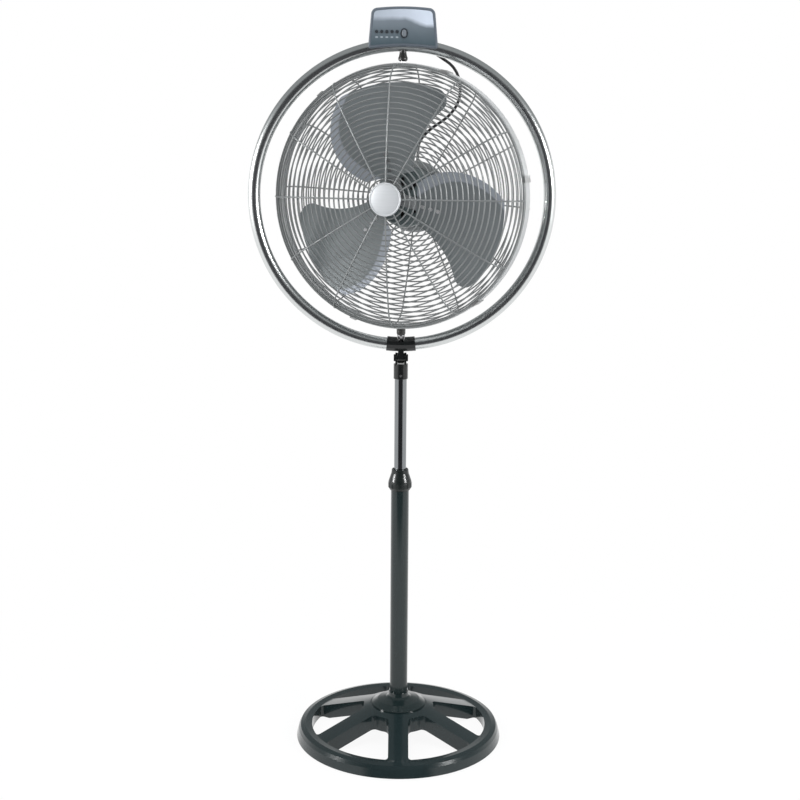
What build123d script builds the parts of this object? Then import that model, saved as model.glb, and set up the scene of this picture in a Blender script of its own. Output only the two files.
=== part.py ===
from build123d import *
import os
from math import asin, atan, cos, degrees, pi, radians, sin, sqrt, tan

os.makedirs("parts", exist_ok=True)

# A convertible pedestal fan. The floor is at z = 0, the pole stands on the z axis and the fan faces -y.
# All sizes are in millimetres.

# Fits and gaps that are shared by several pieces
slip_fit = 0.1          # radial clearance of a piece that slides or turns in its bore
seat_gap = 0.2          # radial clearance of a piece that is clamped or pushed into place
face_gap = 0.3          # clearance between curved or flat faces that pass each other

# Tubes
tube_radius = 12.7      # chromed tube, 25.4 mm across, used for the ring and for the inner pole
tube_wall = 1.2
outer_tube_radius = 19.05
outer_tube_wall = 1.5
outer_tube_bottom = 64.0
outer_tube_top = 556.0
inner_tube_bottom = 330.0

# Ring and head
ring_height = 1163.0    # centre of the ring and of the fan head
ring_radius = 300.4     # centre line of the ring's tube
ring_gap = 8.0          # half the gap between the ring's two ends, inside the tee
head_yaw = -19.0        # the head as it stands in its swing, turned to the viewer's left
swing_limit = 40.0      # the head swings this far to each side of straight ahead
pivot_radius = 4.0

# Base
base_radius = 222.0
rim_inner = 189.0       # radius of the outer end of the gaps
rim_height = 29.0
hub_radius = 62.0
hub_height = 70.0
base_wall = 4.0
web_depth = 32.0        # depth of the hub and the spokes, which are open underneath
floor_gap = 2.0         # the rim hangs this far above the floor, on its feet
spoke_count = 6
spoke_width = 42.0
gap_inner = 76.0        # radius of the inner end of the gaps
gap_fillet = 13.0
foot_circle = 203.0
foot_radius = 8.5
foot_height = 14.0
foot_stem = 4.0
foot_bolt_circle = 36.0
foot_bolt_radius = 3.0

# Frames of the head and of the ring
ring_center = Vector(0, 0, ring_height)
tube_sides = 12         # the ring's round section is drawn with this many flats
HEAD = Plane(
    origin=ring_center,
    x_dir=(cos(radians(head_yaw)), sin(radians(head_yaw)), 0),
    z_dir=(sin(radians(head_yaw)), -cos(radians(head_yaw)), 0),
)
HEAD_AXIS = Axis(ring_center, HEAD.z_dir)


def outward_at(angle):
    """Direction away from the head's axis at an angle from the viewer's right."""
    return HEAD.x_dir * cos(radians(angle)) + HEAD.y_dir * sin(radians(angle))


def meridian(angle):
    """Plane through the head's axis: x runs outward at the angle, y runs forward."""
    outward = outward_at(angle)
    return Plane(origin=ring_center, x_dir=outward, z_dir=outward.cross(HEAD.z_dir))


def ring_section(angle):
    """Plane across the ring's tube at an angle from the viewer's right: x runs outward, y to the rear."""
    outward = Vector(cos(radians(angle)), 0, sin(radians(angle)))
    onward = Vector(-sin(radians(angle)), 0, cos(radians(angle)))
    return Plane(origin=ring_center + outward * ring_radius, x_dir=outward, z_dir=onward)


RING_AXIS = Axis(ring_center, (0, -1, 0))


# Base: an iron casting with a rounded rim, six spokes that rise to the hub, and open undersides
web_slope = (hub_height - rim_height + 2) / (rim_inner - hub_radius)
web_end = hub_radius + (hub_height - web_depth - floor_gap) / web_slope


def wheel_top(inset):
    """Upper outline from the axis to the rim's foot, drawn inside by a wall."""
    Polyline(
        (0, hub_height - inset),
        (hub_radius, hub_height - inset),
        (rim_inner, rim_height - 2 - inset),
        (foot_circle, rim_height - inset),
    )
    Polyline(
        (foot_circle, rim_height - inset),
        (base_radius - 8.5 - 0.6 * inset, rim_height - 3 - 0.8 * inset),
        (base_radius - 4.5 - inset, rim_height - 10),
    )


with BuildSketch() as spoke_gaps:
    Circle(rim_inner)
    Circle(gap_inner, mode=Mode.SUBTRACT)
    with PolarLocations(0, spoke_count // 2, start_angle=30, angular_range=180):
        Rectangle(2 * base_radius, spoke_width, mode=Mode.SUBTRACT)
    middle = (gap_inner + rim_inner) / 2
    inner_corners = spoke_gaps.vertices().filter_by(lambda v: Vector(v.X, v.Y, 0).length < middle)
    fillet(inner_corners, gap_fillet)
    outer_corners = spoke_gaps.vertices().filter_by(lambda v: Vector(v.X, v.Y, 0).length > rim_inner - 1)
    fillet(outer_corners, gap_fillet / 2)

with BuildSketch() as gap_walls:
    add(spoke_gaps.sketch)
    offset(amount=base_wall)

with BuildPart() as wheel_cavity:
    with BuildSketch(Plane.XZ):
        with BuildLine():
            wheel_top(base_wall)
            Line((base_radius - 4.5 - base_wall, rim_height - 10), (base_radius - base_wall, -1))
            Line((base_radius - base_wall, -1), (0, -1))
            Line((0, -1), (0, hub_height - base_wall))
        make_face()
    revolve(axis=Axis.Z)
    extrude(gap_walls.sketch, amount=hub_height, mode=Mode.SUBTRACT)

with BuildPart() as base_wheel:
    with BuildSketch(Plane.XZ):
        with BuildLine():
            wheel_top(0)
            Line((base_radius - 4.5, rim_height - 10), (base_radius, floor_gap))
            Line((base_radius, floor_gap), (web_end, floor_gap))
            Line((web_end, floor_gap), (hub_radius, hub_height - web_depth))
            Line((hub_radius, hub_height - web_depth), (0, hub_height - web_depth))
            Line((0, hub_height - web_depth), (0, hub_height))
        make_face()
    revolve(axis=Axis.Z)
    extrude(spoke_gaps.sketch, amount=hub_height, mode=Mode.SUBTRACT)
    add(wheel_cavity.part, mode=Mode.SUBTRACT)
    # a post inside the rim for each foot's stem, and the holes in the hub
    with BuildSketch(Plane.XY.offset(foot_height)):
        with PolarLocations(foot_circle, spoke_count, start_angle=30):
            Circle(foot_radius)
            Circle(foot_stem + slip_fit, mode=Mode.SUBTRACT)
    extrude(amount=rim_height - base_wall - foot_height + 1)
    with BuildSketch(Plane.XY.offset(hub_height)):
        Circle(outer_tube_radius + seat_gap)
        with PolarLocations(foot_bolt_circle, 4, start_angle=45):
            Circle(foot_bolt_radius + seat_gap)
    extrude(amount=-base_wall - 1, mode=Mode.SUBTRACT)
base_wheel.part.label = "base_wheel"
export_step(base_wheel.part, "parts/base_wheel.step")

# Rubber feet: pads that stand on the floor, each with a stem in its post
with BuildPart() as rubber_feet:
    with BuildSketch():
        with PolarLocations(foot_circle, spoke_count, start_angle=30):
            Circle(foot_radius + 1)
    extrude(amount=foot_height)
    with BuildSketch(Plane.XY.offset(foot_height)):
        with PolarLocations(foot_circle, spoke_count, start_angle=30):
            Circle(foot_stem)
    extrude(amount=8)
rubber_feet.part.label = "rubber_feet"
export_step(rubber_feet.part, "parts/rubber_feet.step")

# Pole foot: a flange on the hub with a collar that the outer tube is welded into
flange_thickness = 4.0
flange_radius = 48.0
collar_height = 14.0
collar_wall = 3.0
with BuildPart() as pole_foot:
    with BuildSketch(Plane.XY.offset(hub_height)):
        Circle(flange_radius)
        Circle(outer_tube_radius, mode=Mode.SUBTRACT)
        with PolarLocations(foot_bolt_circle, 4, start_angle=45):
            Circle(foot_bolt_radius + seat_gap, mode=Mode.SUBTRACT)
    extrude(amount=flange_thickness)
    with BuildSketch(Plane.XY.offset(hub_height + flange_thickness)):
        Circle(outer_tube_radius + collar_wall)
        Circle(outer_tube_radius, mode=Mode.SUBTRACT)
    extrude(amount=collar_height - flange_thickness)
pole_foot.part.label = "pole_foot"
export_step(pole_foot.part, "parts/pole_foot.step")

# Foot bolts: four hexagon bolts with nuts under the hub
with BuildPart() as foot_bolts:
    for angle in (45, 135, 225, 315):
        across = (foot_bolt_circle * cos(radians(angle)), foot_bolt_circle * sin(radians(angle)))
        spot = Plane(origin=(*across, hub_height + flange_thickness), z_dir=(0, 0, 1))
        with BuildSketch(spot):
            RegularPolygon(foot_bolt_radius * 1.9, 6)
        extrude(amount=foot_bolt_radius * 1.3)
        with BuildSketch(spot):
            Circle(foot_bolt_radius)
        extrude(amount=-(flange_thickness + base_wall + 6))
        with BuildSketch(spot.offset(-flange_thickness - base_wall)):
            RegularPolygon(foot_bolt_radius * 1.9, 6)
        extrude(amount=-foot_bolt_radius * 1.6)
foot_bolts.part.label = "foot_bolts"
export_step(foot_bolts.part, "parts/foot_bolts.step")

# Pole boot: a domed cover over the flange that runs up the tube in a hollow curve
boot_radius = 58.0
boot_edge = 3.0
boot_dome = 15.0        # height of the dome where the cone begins
boot_height = 27.0
boot_waist = 27.0       # radius where the dome turns into the cone
boot_wall = 2.0


def boot_outline(inset):
    """Outline of the boot from its edge to the tube, drawn inside by a wall."""
    edge = (boot_radius - inset, hub_height + boot_edge - 0.4 * inset)
    shoulder = (boot_radius - 13 - 0.6 * inset, hub_height + boot_dome - 4.2 - 0.9 * inset)
    waist = (boot_waist - 0.5 * inset, hub_height + boot_dome + 0.6 - 0.9 * inset)
    hollow = (outer_tube_radius + 3.4 - 0.9 * inset, hub_height + boot_dome + 4.4 - 0.5 * inset)
    Line((boot_radius - inset, hub_height), edge)
    collar = (outer_tube_radius + 1.4 - inset, hub_height + boot_height)
    Polyline(edge, shoulder, waist, hollow, collar)
    Line(collar, (0, hub_height + boot_height))
    Line((0, hub_height + boot_height), (0, hub_height))
    Line((0, hub_height), (boot_radius - inset, hub_height))


with BuildPart() as pole_boot:
    with BuildSketch(Plane.XZ):
        with BuildLine():
            boot_outline(0)
        make_face()
    revolve(axis=Axis.Z)
    with BuildSketch(Plane.XZ):
        with BuildLine():
            boot_outline(boot_wall)
        make_face()
    revolve(axis=Axis.Z, mode=Mode.SUBTRACT)
    with BuildSketch(Plane.XY.offset(hub_height)):
        Circle(outer_tube_radius + seat_gap)
    extrude(amount=boot_height, mode=Mode.SUBTRACT)
pole_boot.part.label = "pole_boot"
export_step(pole_boot.part, "parts/pole_boot.step")

# Outer tube
with BuildPart() as lower_tube:
    with BuildSketch(Plane.XY.offset(outer_tube_bottom)):
        Circle(outer_tube_radius)
        Circle(outer_tube_radius - outer_tube_wall, mode=Mode.SUBTRACT)
    extrude(amount=outer_tube_top - outer_tube_bottom)
lower_tube.part.label = "lower_tube"
export_step(lower_tube.part, "parts/lower_tube.step")

# Height collet: a split plastic sleeve in the tube's top that the nut squeezes on the inner tube
collet_depth = 34.0
collet_top = outer_tube_top + 32
collet_flange = 3.0
collet_radius = 16.6
collet_tip_radius = 14.6
with BuildPart() as height_collet:
    with BuildSketch(Plane.XZ):
        with BuildLine():
            Polyline(
                (tube_radius + slip_fit, outer_tube_top - collet_depth),
                (outer_tube_radius - outer_tube_wall - slip_fit, outer_tube_top - collet_depth),
                (outer_tube_radius - outer_tube_wall - slip_fit, outer_tube_top),
                (outer_tube_radius, outer_tube_top),
                (outer_tube_radius, outer_tube_top + collet_flange),
                (collet_radius, outer_tube_top + collet_flange),
                (collet_radius, collet_top - 8),
                (collet_tip_radius, collet_top),
                (tube_radius + slip_fit, collet_top),
                close=True,
            )
        make_face()
    revolve(axis=Axis.Z)
    # four slits that let its fingers bend inward
    with BuildSketch(Plane.XY.offset(collet_top)):
        with PolarLocations(0, 2, start_angle=45, angular_range=180):
            Rectangle(4 * tube_radius, 1.6)
    extrude(amount=-20, mode=Mode.SUBTRACT)
height_collet.part.label = "height_collet"
export_step(height_collet.part, "parts/height_collet.step")

# Height nut: the flared collar, with grip flutes round its widest band
nut_bottom = outer_tube_top - 4
nut_top = outer_tube_top + 41
nut_widest = 25.0
nut_bore = tube_radius + 1.8
nut_neck = 17.6
flute_count = 14
with BuildPart() as height_nut:
    with BuildSketch(Plane.XZ):
        with BuildLine():
            Line((nut_bore, nut_top), (nut_neck - 1, nut_top))
            Line((nut_neck - 1, nut_top), (nut_neck, nut_top - 1.5))
            Line((nut_neck, nut_top - 1.5), (nut_neck + 0.8, nut_top - 9))
            Polyline(
                (nut_neck + 0.8, nut_top - 9),
                (nut_widest - 3.6, nut_top - 18),
                (nut_widest - 1.2, nut_top - 25),
                (nut_widest, nut_bottom + 14),
            )
            Line((nut_widest, nut_bottom + 14), (nut_widest, nut_bottom + 6))
            Line((nut_widest, nut_bottom + 6), (outer_tube_radius + 2.2, nut_bottom))
            Line((outer_tube_radius + 2.2, nut_bottom), (outer_tube_radius + face_gap, nut_bottom))
            Line(
                (outer_tube_radius + face_gap, nut_bottom),
                (outer_tube_radius + face_gap, outer_tube_top + collet_flange + face_gap),
            )
            Line(
                (outer_tube_radius + face_gap, outer_tube_top + collet_flange + face_gap),
                (collet_radius + slip_fit, outer_tube_top + collet_flange + face_gap),
            )
            Line(
                (collet_radius + slip_fit, outer_tube_top + collet_flange + face_gap),
                (collet_radius + slip_fit, collet_top - 7),
            )
            Line((collet_radius + slip_fit, collet_top - 7), (collet_tip_radius + 0.4, collet_top + 1))
            Line((collet_tip_radius + 0.4, collet_top + 1), (nut_bore, collet_top + 2))
            Line((nut_bore, collet_top + 2), (nut_bore, nut_top))
        make_face()
    revolve(axis=Axis.Z)
    with BuildSketch(Plane.XY.offset(nut_bottom + 1)):
        with PolarLocations(nut_widest + 1.3, flute_count):
            Circle(2.2)
    extrude(amount=16, mode=Mode.SUBTRACT)
height_nut.part.label = "height_nut"
export_step(height_nut.part, "parts/height_nut.step")

# Socket on top of the chromed tube, with two ears for the tilt hinge
socket_radius = 14.9
socket_bottom = 790.0
socket_floor = 821.5    # floor of the slot between the ears
socket_roof = 3.0       # wall over the tube's end
tilt_height = 834.0     # axis of the tilt hinge
tilt_radius = 11.0      # round end of the tongue and of the ears
tilt_bolt_radius = 4.0
tongue_half = 6.0
washer_thickness = 1.0
ear_inner = tongue_half + washer_thickness + 0.1
ear_outer = 11.6
tube_end = socket_floor - socket_roof
socket_screw_height = socket_bottom + 8
socket_screw_radius = 2.5
with BuildPart() as pole_socket:
    with BuildSketch(Plane.XY.offset(socket_bottom)):
        Circle(socket_radius)
    extrude(amount=socket_floor - socket_bottom)
    # the ears stand on the socket's round body
    with BuildSketch(Plane.YZ):
        with Locations((0, tilt_height)):
            Circle(tilt_radius)
        with Locations((0, (tilt_height + socket_floor) / 2 - 2)):
            Rectangle(2 * tilt_radius - 1, tilt_height - socket_floor + 4)
    extrude(amount=ear_outer, both=True)
    with BuildSketch(Plane.XZ):
        with Locations((0, socket_floor + tilt_radius * 2)):
            Rectangle(2 * ear_inner, 4 * tilt_radius)
    extrude(amount=2 * socket_radius, both=True, mode=Mode.SUBTRACT)
    with BuildSketch(Plane.YZ):
        with Locations((0, tilt_height)):
            Circle(tilt_bolt_radius + slip_fit)
    extrude(amount=socket_radius, both=True, mode=Mode.SUBTRACT)
    with BuildSketch(Plane.XY.offset(socket_bottom)):
        Circle(tube_radius + slip_fit)
    extrude(amount=tube_end - socket_bottom, mode=Mode.SUBTRACT)
    with BuildSketch(Plane.XZ):
        with Locations((0, socket_screw_height)):
            Circle(socket_screw_radius)
    extrude(amount=socket_radius, both=True, mode=Mode.SUBTRACT)
    socket_mouth = pole_socket.edges().filter_by(GeomType.CIRCLE).group_by(Axis.Z)[0]
    chamfer(socket_mouth.sort_by(SortBy.RADIUS)[-1], 0.7)
pole_socket.part.label = "pole_socket"
export_step(pole_socket.part, "parts/pole_socket.step")

# Socket screws: two grub screws that hold the tube, at the front and at the rear
socket_screw_tip = tube_radius + slip_fit / 2
socket_screw_face = socket_radius + 1.0
with BuildPart() as socket_screws:
    for side in (-1, 1):
        tip = Plane(origin=(0, side * socket_screw_tip, socket_screw_height), z_dir=(0, side, 0))
        with BuildSketch(tip):
            Circle(socket_screw_radius)
        extrude(amount=socket_screw_face - socket_screw_tip)
        with BuildSketch(tip.offset(socket_screw_face - socket_screw_tip)):
            RegularPolygon(1.4, 6)
        extrude(amount=-1.5, mode=Mode.SUBTRACT)
socket_screws.part.label = "socket_screws"
export_step(socket_screws.part, "parts/socket_screws.step")

# Inner tube, chromed
with BuildPart() as inner_tube:
    with BuildSketch(Plane.XY.offset(inner_tube_bottom)):
        Circle(tube_radius)
        Circle(tube_radius - tube_wall, mode=Mode.SUBTRACT)
    extrude(amount=tube_end - inner_tube_bottom)
inner_tube.part.label = "inner_tube"
export_step(inner_tube.part, "parts/inner_tube.step")

# Guide bush on the inner tube's lower end, which slides in the outer tube
bush_height = 16.0
bush_spigot = 14.0
with BuildPart() as tube_bush:
    with BuildSketch(Plane.XY.offset(inner_tube_bottom)):
        Circle(outer_tube_radius - outer_tube_wall - slip_fit)
    extrude(amount=-bush_height)
    with BuildSketch(Plane.XY.offset(inner_tube_bottom)):
        Circle(tube_radius - tube_wall - slip_fit)
    extrude(amount=bush_spigot)
    with BuildSketch(Plane.XY.offset(inner_tube_bottom - bush_height)):
        Circle(tube_radius - tube_wall - 3)
    extrude(amount=bush_height + bush_spigot, mode=Mode.SUBTRACT)
tube_bush.part.label = "tube_bush"
export_step(tube_bush.part, "parts/tube_bush.step")

# Tilt hinge: bolt, lock nut and two friction washers
tilt_head = socket_radius - ear_outer
with BuildPart() as tilt_bolt:
    with BuildSketch(Plane(origin=(ear_outer, 0, tilt_height), z_dir=(1, 0, 0))):
        RegularPolygon(7.4, 6)
    extrude(amount=tilt_head)
    with BuildSketch(Plane(origin=(ear_outer, 0, tilt_height), z_dir=(-1, 0, 0))):
        Circle(tilt_bolt_radius)
    extrude(amount=2 * ear_outer + tilt_head)
tilt_bolt.part.label = "tilt_bolt"
export_step(tilt_bolt.part, "parts/tilt_bolt.step")

with BuildPart() as tilt_nut:
    with BuildSketch(Plane(origin=(-ear_outer, 0, tilt_height), z_dir=(-1, 0, 0))):
        RegularPolygon(7.4, 6)
        Circle(tilt_bolt_radius, mode=Mode.SUBTRACT)
    extrude(amount=tilt_head)
tilt_nut.part.label = "tilt_nut"
export_step(tilt_nut.part, "parts/tilt_nut.step")

with BuildPart() as tilt_washers:
    for side in (-1, 1):
        with BuildSketch(Plane(origin=(side * (tongue_half + 0.05), 0, tilt_height), z_dir=(side, 0, 0))):
            Circle(tilt_radius - 1)
            Circle(tilt_bolt_radius + slip_fit, mode=Mode.SUBTRACT)
        extrude(amount=washer_thickness)
tilt_washers.part.label = "tilt_washers"
export_step(tilt_washers.part, "parts/tilt_washers.step")

# Tee: a fitting with a sleeve for each end of the ring, a tongue below and a notch above
tee_radius = 15.3
tee_half = 29.5         # the sleeves reach this far to each side
tee_angle = degrees(asin(tee_half / ring_radius))
notch_width = 17.0
notch_depth = 9.0
tee_bottom = ring_height - ring_radius - tee_radius
tee_top = ring_height - ring_radius + tee_radius
end_angle = degrees(asin(ring_gap / ring_radius))
stud_radius = 4.5
stud_foot = ring_height - ring_radius - 3.0
with BuildPart() as ring_tee:
    with BuildSketch(ring_section(-90 - tee_angle)):
        RegularPolygon(tee_radius, tube_sides)
    revolve(axis=RING_AXIS, revolution_arc=2 * tee_angle)
    with BuildSketch(Plane.YZ):
        with Locations((0, tilt_height)):
            Circle(tilt_radius)
        with Locations((0, (tilt_height + tee_bottom) / 2 + 3)):
            Rectangle(2 * tilt_radius, tee_bottom - tilt_height + 6)
    extrude(amount=tongue_half, both=True)
    with BuildSketch(Plane.YZ):
        with Locations((0, tilt_height)):
            Circle(tilt_bolt_radius + slip_fit)
    extrude(amount=2 * tongue_half, both=True, mode=Mode.SUBTRACT)
    # the bores for the ring's ends
    with BuildSketch(ring_section(-90 - tee_angle - 1)):
        RegularPolygon(tube_radius + slip_fit, tube_sides)
    revolve(axis=RING_AXIS, revolution_arc=tee_angle + 1 - end_angle, mode=Mode.SUBTRACT)
    with BuildSketch(ring_section(-90 + end_angle)):
        RegularPolygon(tube_radius + slip_fit, tube_sides)
    revolve(axis=RING_AXIS, revolution_arc=tee_angle + 1 - end_angle, mode=Mode.SUBTRACT)
    # the notch, and the socket of the lower pivot in its floor
    with BuildSketch(Plane.XZ):
        with BuildLine():
            Polyline(
                (-notch_width / 2, tee_top + 1),
                (notch_width / 2, tee_top + 1),
                (stud_radius, tee_top - notch_depth),
                (-stud_radius, tee_top - notch_depth),
                close=True,
            )
        make_face()
    extrude(amount=2 * tee_radius, both=True, mode=Mode.SUBTRACT)
    with BuildSketch(Plane.XY.offset(stud_foot)):
        Circle(stud_radius)
    extrude(amount=tee_radius, mode=Mode.SUBTRACT)
ring_tee.part.label = "ring_tee"
export_step(ring_tee.part, "parts/ring_tee.step")

# Ring: one chromed tube bent round, with both ends in the tee and a cross hole for the upper pivot
pivot_bush_radius = 7.0
with BuildPart() as ring_tube:
    with BuildSketch(ring_section(-90 + end_angle)):
        RegularPolygon(tube_radius, tube_sides)
        RegularPolygon(tube_radius - tube_wall, tube_sides // 2, mode=Mode.SUBTRACT)
    revolve(axis=RING_AXIS, revolution_arc=360 - 2 * end_angle)
    with BuildSketch(Plane.XY.offset(ring_height)):
        Circle(pivot_bush_radius + slip_fit)
    extrude(amount=ring_radius + 2 * tube_radius, mode=Mode.SUBTRACT)
ring_tube.part.label = "ring_tube"
export_step(ring_tube.part, "parts/ring_tube.step")

# Lower pivot: a stud in the tee's notch with a conical shoulder that carries the head
hoop_radius = 265.0
hoop_wall = 1.2
pivot_boss_radius = 6.0
boss_length = 9.0
hoop_bottom = ring_height - hoop_radius
hoop_top = ring_height + hoop_radius
shoulder_top = tee_top + 4.5
shoulder_radius = 8.0
stud_top = hoop_bottom + boss_length - 1
with BuildPart() as lower_pivot_stud:
    with BuildSketch(Plane.XZ):
        with BuildLine():
            Polyline(
                (0, stud_foot),
                (stud_radius, stud_foot),
                (stud_radius, tee_top - notch_depth),
                (shoulder_radius, shoulder_top - 2.5),
                (shoulder_radius, shoulder_top),
                (pivot_radius, shoulder_top),
                (pivot_radius, stud_top),
                (0, stud_top),
                close=True,
            )
        make_face()
    revolve(axis=Axis.Z)
lower_pivot_stud.part.label = "lower_pivot_stud"
export_step(lower_pivot_stud.part, "parts/lower_pivot_stud.step")

# Lower pivot bush: a dark plastic collar that turns on the stud's shoulder with the head
knob_radius = 9.2
with BuildPart() as lower_pivot_bush:
    with BuildSketch(Plane.XZ):
        with BuildLine():
            Line((pivot_radius + slip_fit, shoulder_top + 0.1), (knob_radius - 1.5, shoulder_top + 0.1))
            Polyline(
                (knob_radius - 1.5, shoulder_top + 0.1),
                (knob_radius, shoulder_top + 3),
                (knob_radius, hoop_bottom - 3),
                (knob_radius - 1.5, hoop_bottom - 0.4),
            )
            Line((knob_radius - 1.5, hoop_bottom - 0.4), (pivot_radius + slip_fit, hoop_bottom - 0.4))
            Line((pivot_radius + slip_fit, hoop_bottom - 0.4), (pivot_radius + slip_fit, shoulder_top + 0.1))
        make_face()
    revolve(axis=Axis.Z)
lower_pivot_bush.part.label = "lower_pivot_bush"
export_step(lower_pivot_bush.part, "parts/lower_pivot_bush.step")

# Upper pivot bush: through the ring's tube, with a dark knob below and a nut on top
ring_top = ring_height + ring_radius + tube_radius
ring_underside = ring_height + ring_radius - tube_radius
plate_gap = 0.3
plate_thickness = 2.0
plate_bottom = ring_top + plate_gap
plate_top = plate_bottom + plate_thickness
bush_top = plate_top + 7
knob_bottom = hoop_top + 4.0
with BuildPart() as upper_pivot_bush:
    with BuildSketch(Plane.XZ):
        with BuildLine():
            Line((pivot_radius + slip_fit, knob_bottom), (6.5, knob_bottom))
            Polyline(
                (6.5, knob_bottom),
                (knob_radius, knob_bottom + 2.5),
                (knob_radius + 0.4, knob_bottom + 6.5),
                (knob_radius - 1, knob_bottom + 9.5),
                (6.8, ring_underside - 2),
            )
            Line((6.8, ring_underside - 2), (pivot_bush_radius, ring_underside - 0.4))
            Line((pivot_bush_radius, ring_underside - 0.4), (pivot_bush_radius, bush_top))
            Line((pivot_bush_radius, bush_top), (pivot_radius + slip_fit, bush_top))
            Line((pivot_radius + slip_fit, bush_top), (pivot_radius + slip_fit, knob_bottom))
        make_face()
    revolve(axis=Axis.Z)
upper_pivot_bush.part.label = "upper_pivot_bush"
export_step(upper_pivot_bush.part, "parts/upper_pivot_bush.step")

with BuildPart() as bush_nut:
    with BuildSketch(Plane.XY.offset(plate_top)):
        RegularPolygon(12.0, 6)
        Circle(pivot_bush_radius, mode=Mode.SUBTRACT)
    extrude(amount=5)
bush_nut.part.label = "bush_nut"
export_step(bush_nut.part, "parts/bush_nut.step")

# Box plate: a steel plate clamped on the ring by the bush's nut
box_depth = 37.0        # half the control box, front to back
box_wall = 2.2
plate_length = 108.0
plate_width = 62.0
gear_module = 1.0
sector_teeth = 48       # teeth of the whole circle that the sector is cut from
pinion_teeth = 12
gear_distance = gear_module * (sector_teeth + pinion_teeth) / 2
post_offset = 29.0
post_radius = 3.5
gear_bottom = bush_top + 1.0
gear_thickness = 5.0
motor_bottom = gear_bottom + gear_thickness + 5
swing_motor_radius = 24.5
swing_motor_height = 22.0
screw_radius = 1.5
with BuildPart() as box_plate:
    with BuildSketch(Plane.XY.offset(plate_bottom)):
        RectangleRounded(plate_length, plate_width, 4)
        Circle(pivot_bush_radius + slip_fit, mode=Mode.SUBTRACT)
    extrude(amount=plate_thickness)
    # two posts riveted in, with threaded ends that carry the swing motor
    with BuildSketch(Plane.XY.offset(plate_top)):
        with Locations((gear_distance, post_offset), (gear_distance, -post_offset)):
            Circle(post_radius)
    extrude(amount=motor_bottom - plate_top)
    with BuildSketch(Plane.XY.offset(motor_bottom)):
        with Locations((gear_distance, post_offset), (gear_distance, -post_offset)):
            Circle(screw_radius)
    extrude(amount=3)
box_plate.part.label = "box_plate"
export_step(box_plate.part, "parts/box_plate.step")

# Swing motor: a flat synchronous motor with its gears inside and two ears
with BuildPart() as swing_motor:
    with BuildSketch(Plane.XY.offset(motor_bottom)):
        with Locations((gear_distance, 0)):
            Circle(swing_motor_radius)
    extrude(amount=swing_motor_height)
    chamfer(swing_motor.edges().filter_by(GeomType.CIRCLE), 1.0)
    with BuildSketch(Plane.XY.offset(motor_bottom)):
        with Locations((gear_distance, 0)):
            SlotCenterToCenter(2 * post_offset, 2 * post_radius, rotation=90)
        with Locations((gear_distance, post_offset), (gear_distance, -post_offset)):
            Circle(screw_radius + slip_fit, mode=Mode.SUBTRACT)
    extrude(amount=1.5)
    with BuildSketch(Plane.XY.offset(motor_bottom)):
        with Locations((gear_distance, 0)):
            Circle(6)
    extrude(amount=-2.5)
    with BuildSketch(Plane.XY.offset(motor_bottom - 2.5)):
        with Locations((gear_distance, 0)):
            Circle(3 + slip_fit)
    extrude(amount=8, mode=Mode.SUBTRACT)
swing_motor.part.label = "swing_motor"
export_step(swing_motor.part, "parts/swing_motor.step")


# Swing gears: a pinion under the motor and a toothed sector on the pivot shaft
def tooth_outline(teeth, addendum, dedendum, backlash):
    """Half widths of one tooth, as (radius, half angle) from root to tip along the involute."""
    pitch = gear_module * teeth / 2
    base = pitch * cos(radians(20))
    pitch_roll = sqrt((pitch / base) ** 2 - 1)
    half_at_pitch = pi / (2 * teeth) - backlash / (2 * pitch)
    flank = []
    root = pitch - dedendum
    low = max(base, root)
    for step in range(4):
        radius = low + (pitch + addendum - low) * step / 3
        roll = sqrt(max((radius / base) ** 2 - 1, 0))
        flank.append((radius, half_at_pitch + pitch_roll - atan(pitch_roll) - roll + atan(roll)))
    return [(root - 0.5, flank[0][1])] + flank


def tooth_edges(teeth, at, addendum, dedendum, backlash):
    """Edges of one tooth at an angle, with its foot sunk in the rim."""
    flank = tooth_outline(teeth, addendum, dedendum, backlash)
    points = [(r * cos(at - a), r * sin(at - a)) for r, a in flank]
    points += [(r * cos(at + a), r * sin(at + a)) for r, a in reversed(flank)]
    with BuildLine() as tooth:
        Polyline(*points, close=True)
    return tooth.edges()


addendum = 0.75 * gear_module
dedendum = 1.05 * gear_module
backlash = 0.16
tooth_pitch = 360 / sector_teeth
pivot_swing = swing_limit + 10          # the sector reaches this far to each side of its middle
first_tooth = -int((pivot_swing - head_yaw) / tooth_pitch)
last_tooth = int((pivot_swing + head_yaw) / tooth_pitch)
sector_root = gear_module * sector_teeth / 2 - dedendum
with BuildPart() as swing_sector:
    with BuildSketch(Plane.XY.offset(gear_bottom)):
        for index in range(first_tooth, last_tooth + 1):
            make_face(tooth_edges(sector_teeth, radians(index * tooth_pitch), addendum, dedendum, backlash))
    extrude(amount=gear_thickness)
    with BuildSketch(Plane.XY.offset(gear_bottom)):
        with BuildLine():
            start = radians((first_tooth - 0.5) * tooth_pitch)
            end = radians((last_tooth + 0.5) * tooth_pitch)
            halfway = (start + end) / 2
            ThreePointArc(
                (sector_root * cos(start), sector_root * sin(start)),
                (sector_root * cos(halfway), sector_root * sin(halfway)),
                (sector_root * cos(end), sector_root * sin(end)),
            )
            Line((sector_root * cos(end), sector_root * sin(end)), (0, 0))
            Line((0, 0), (sector_root * cos(start), sector_root * sin(start)))
        make_face()
        Circle(8)
    extrude(amount=gear_thickness)
    with BuildSketch(Plane.XY.offset(gear_bottom)):
        Circle(pivot_radius)
    extrude(amount=gear_thickness, mode=Mode.SUBTRACT)
swing_sector.part.label = "swing_sector"
export_step(swing_sector.part, "parts/swing_sector.step")

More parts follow.
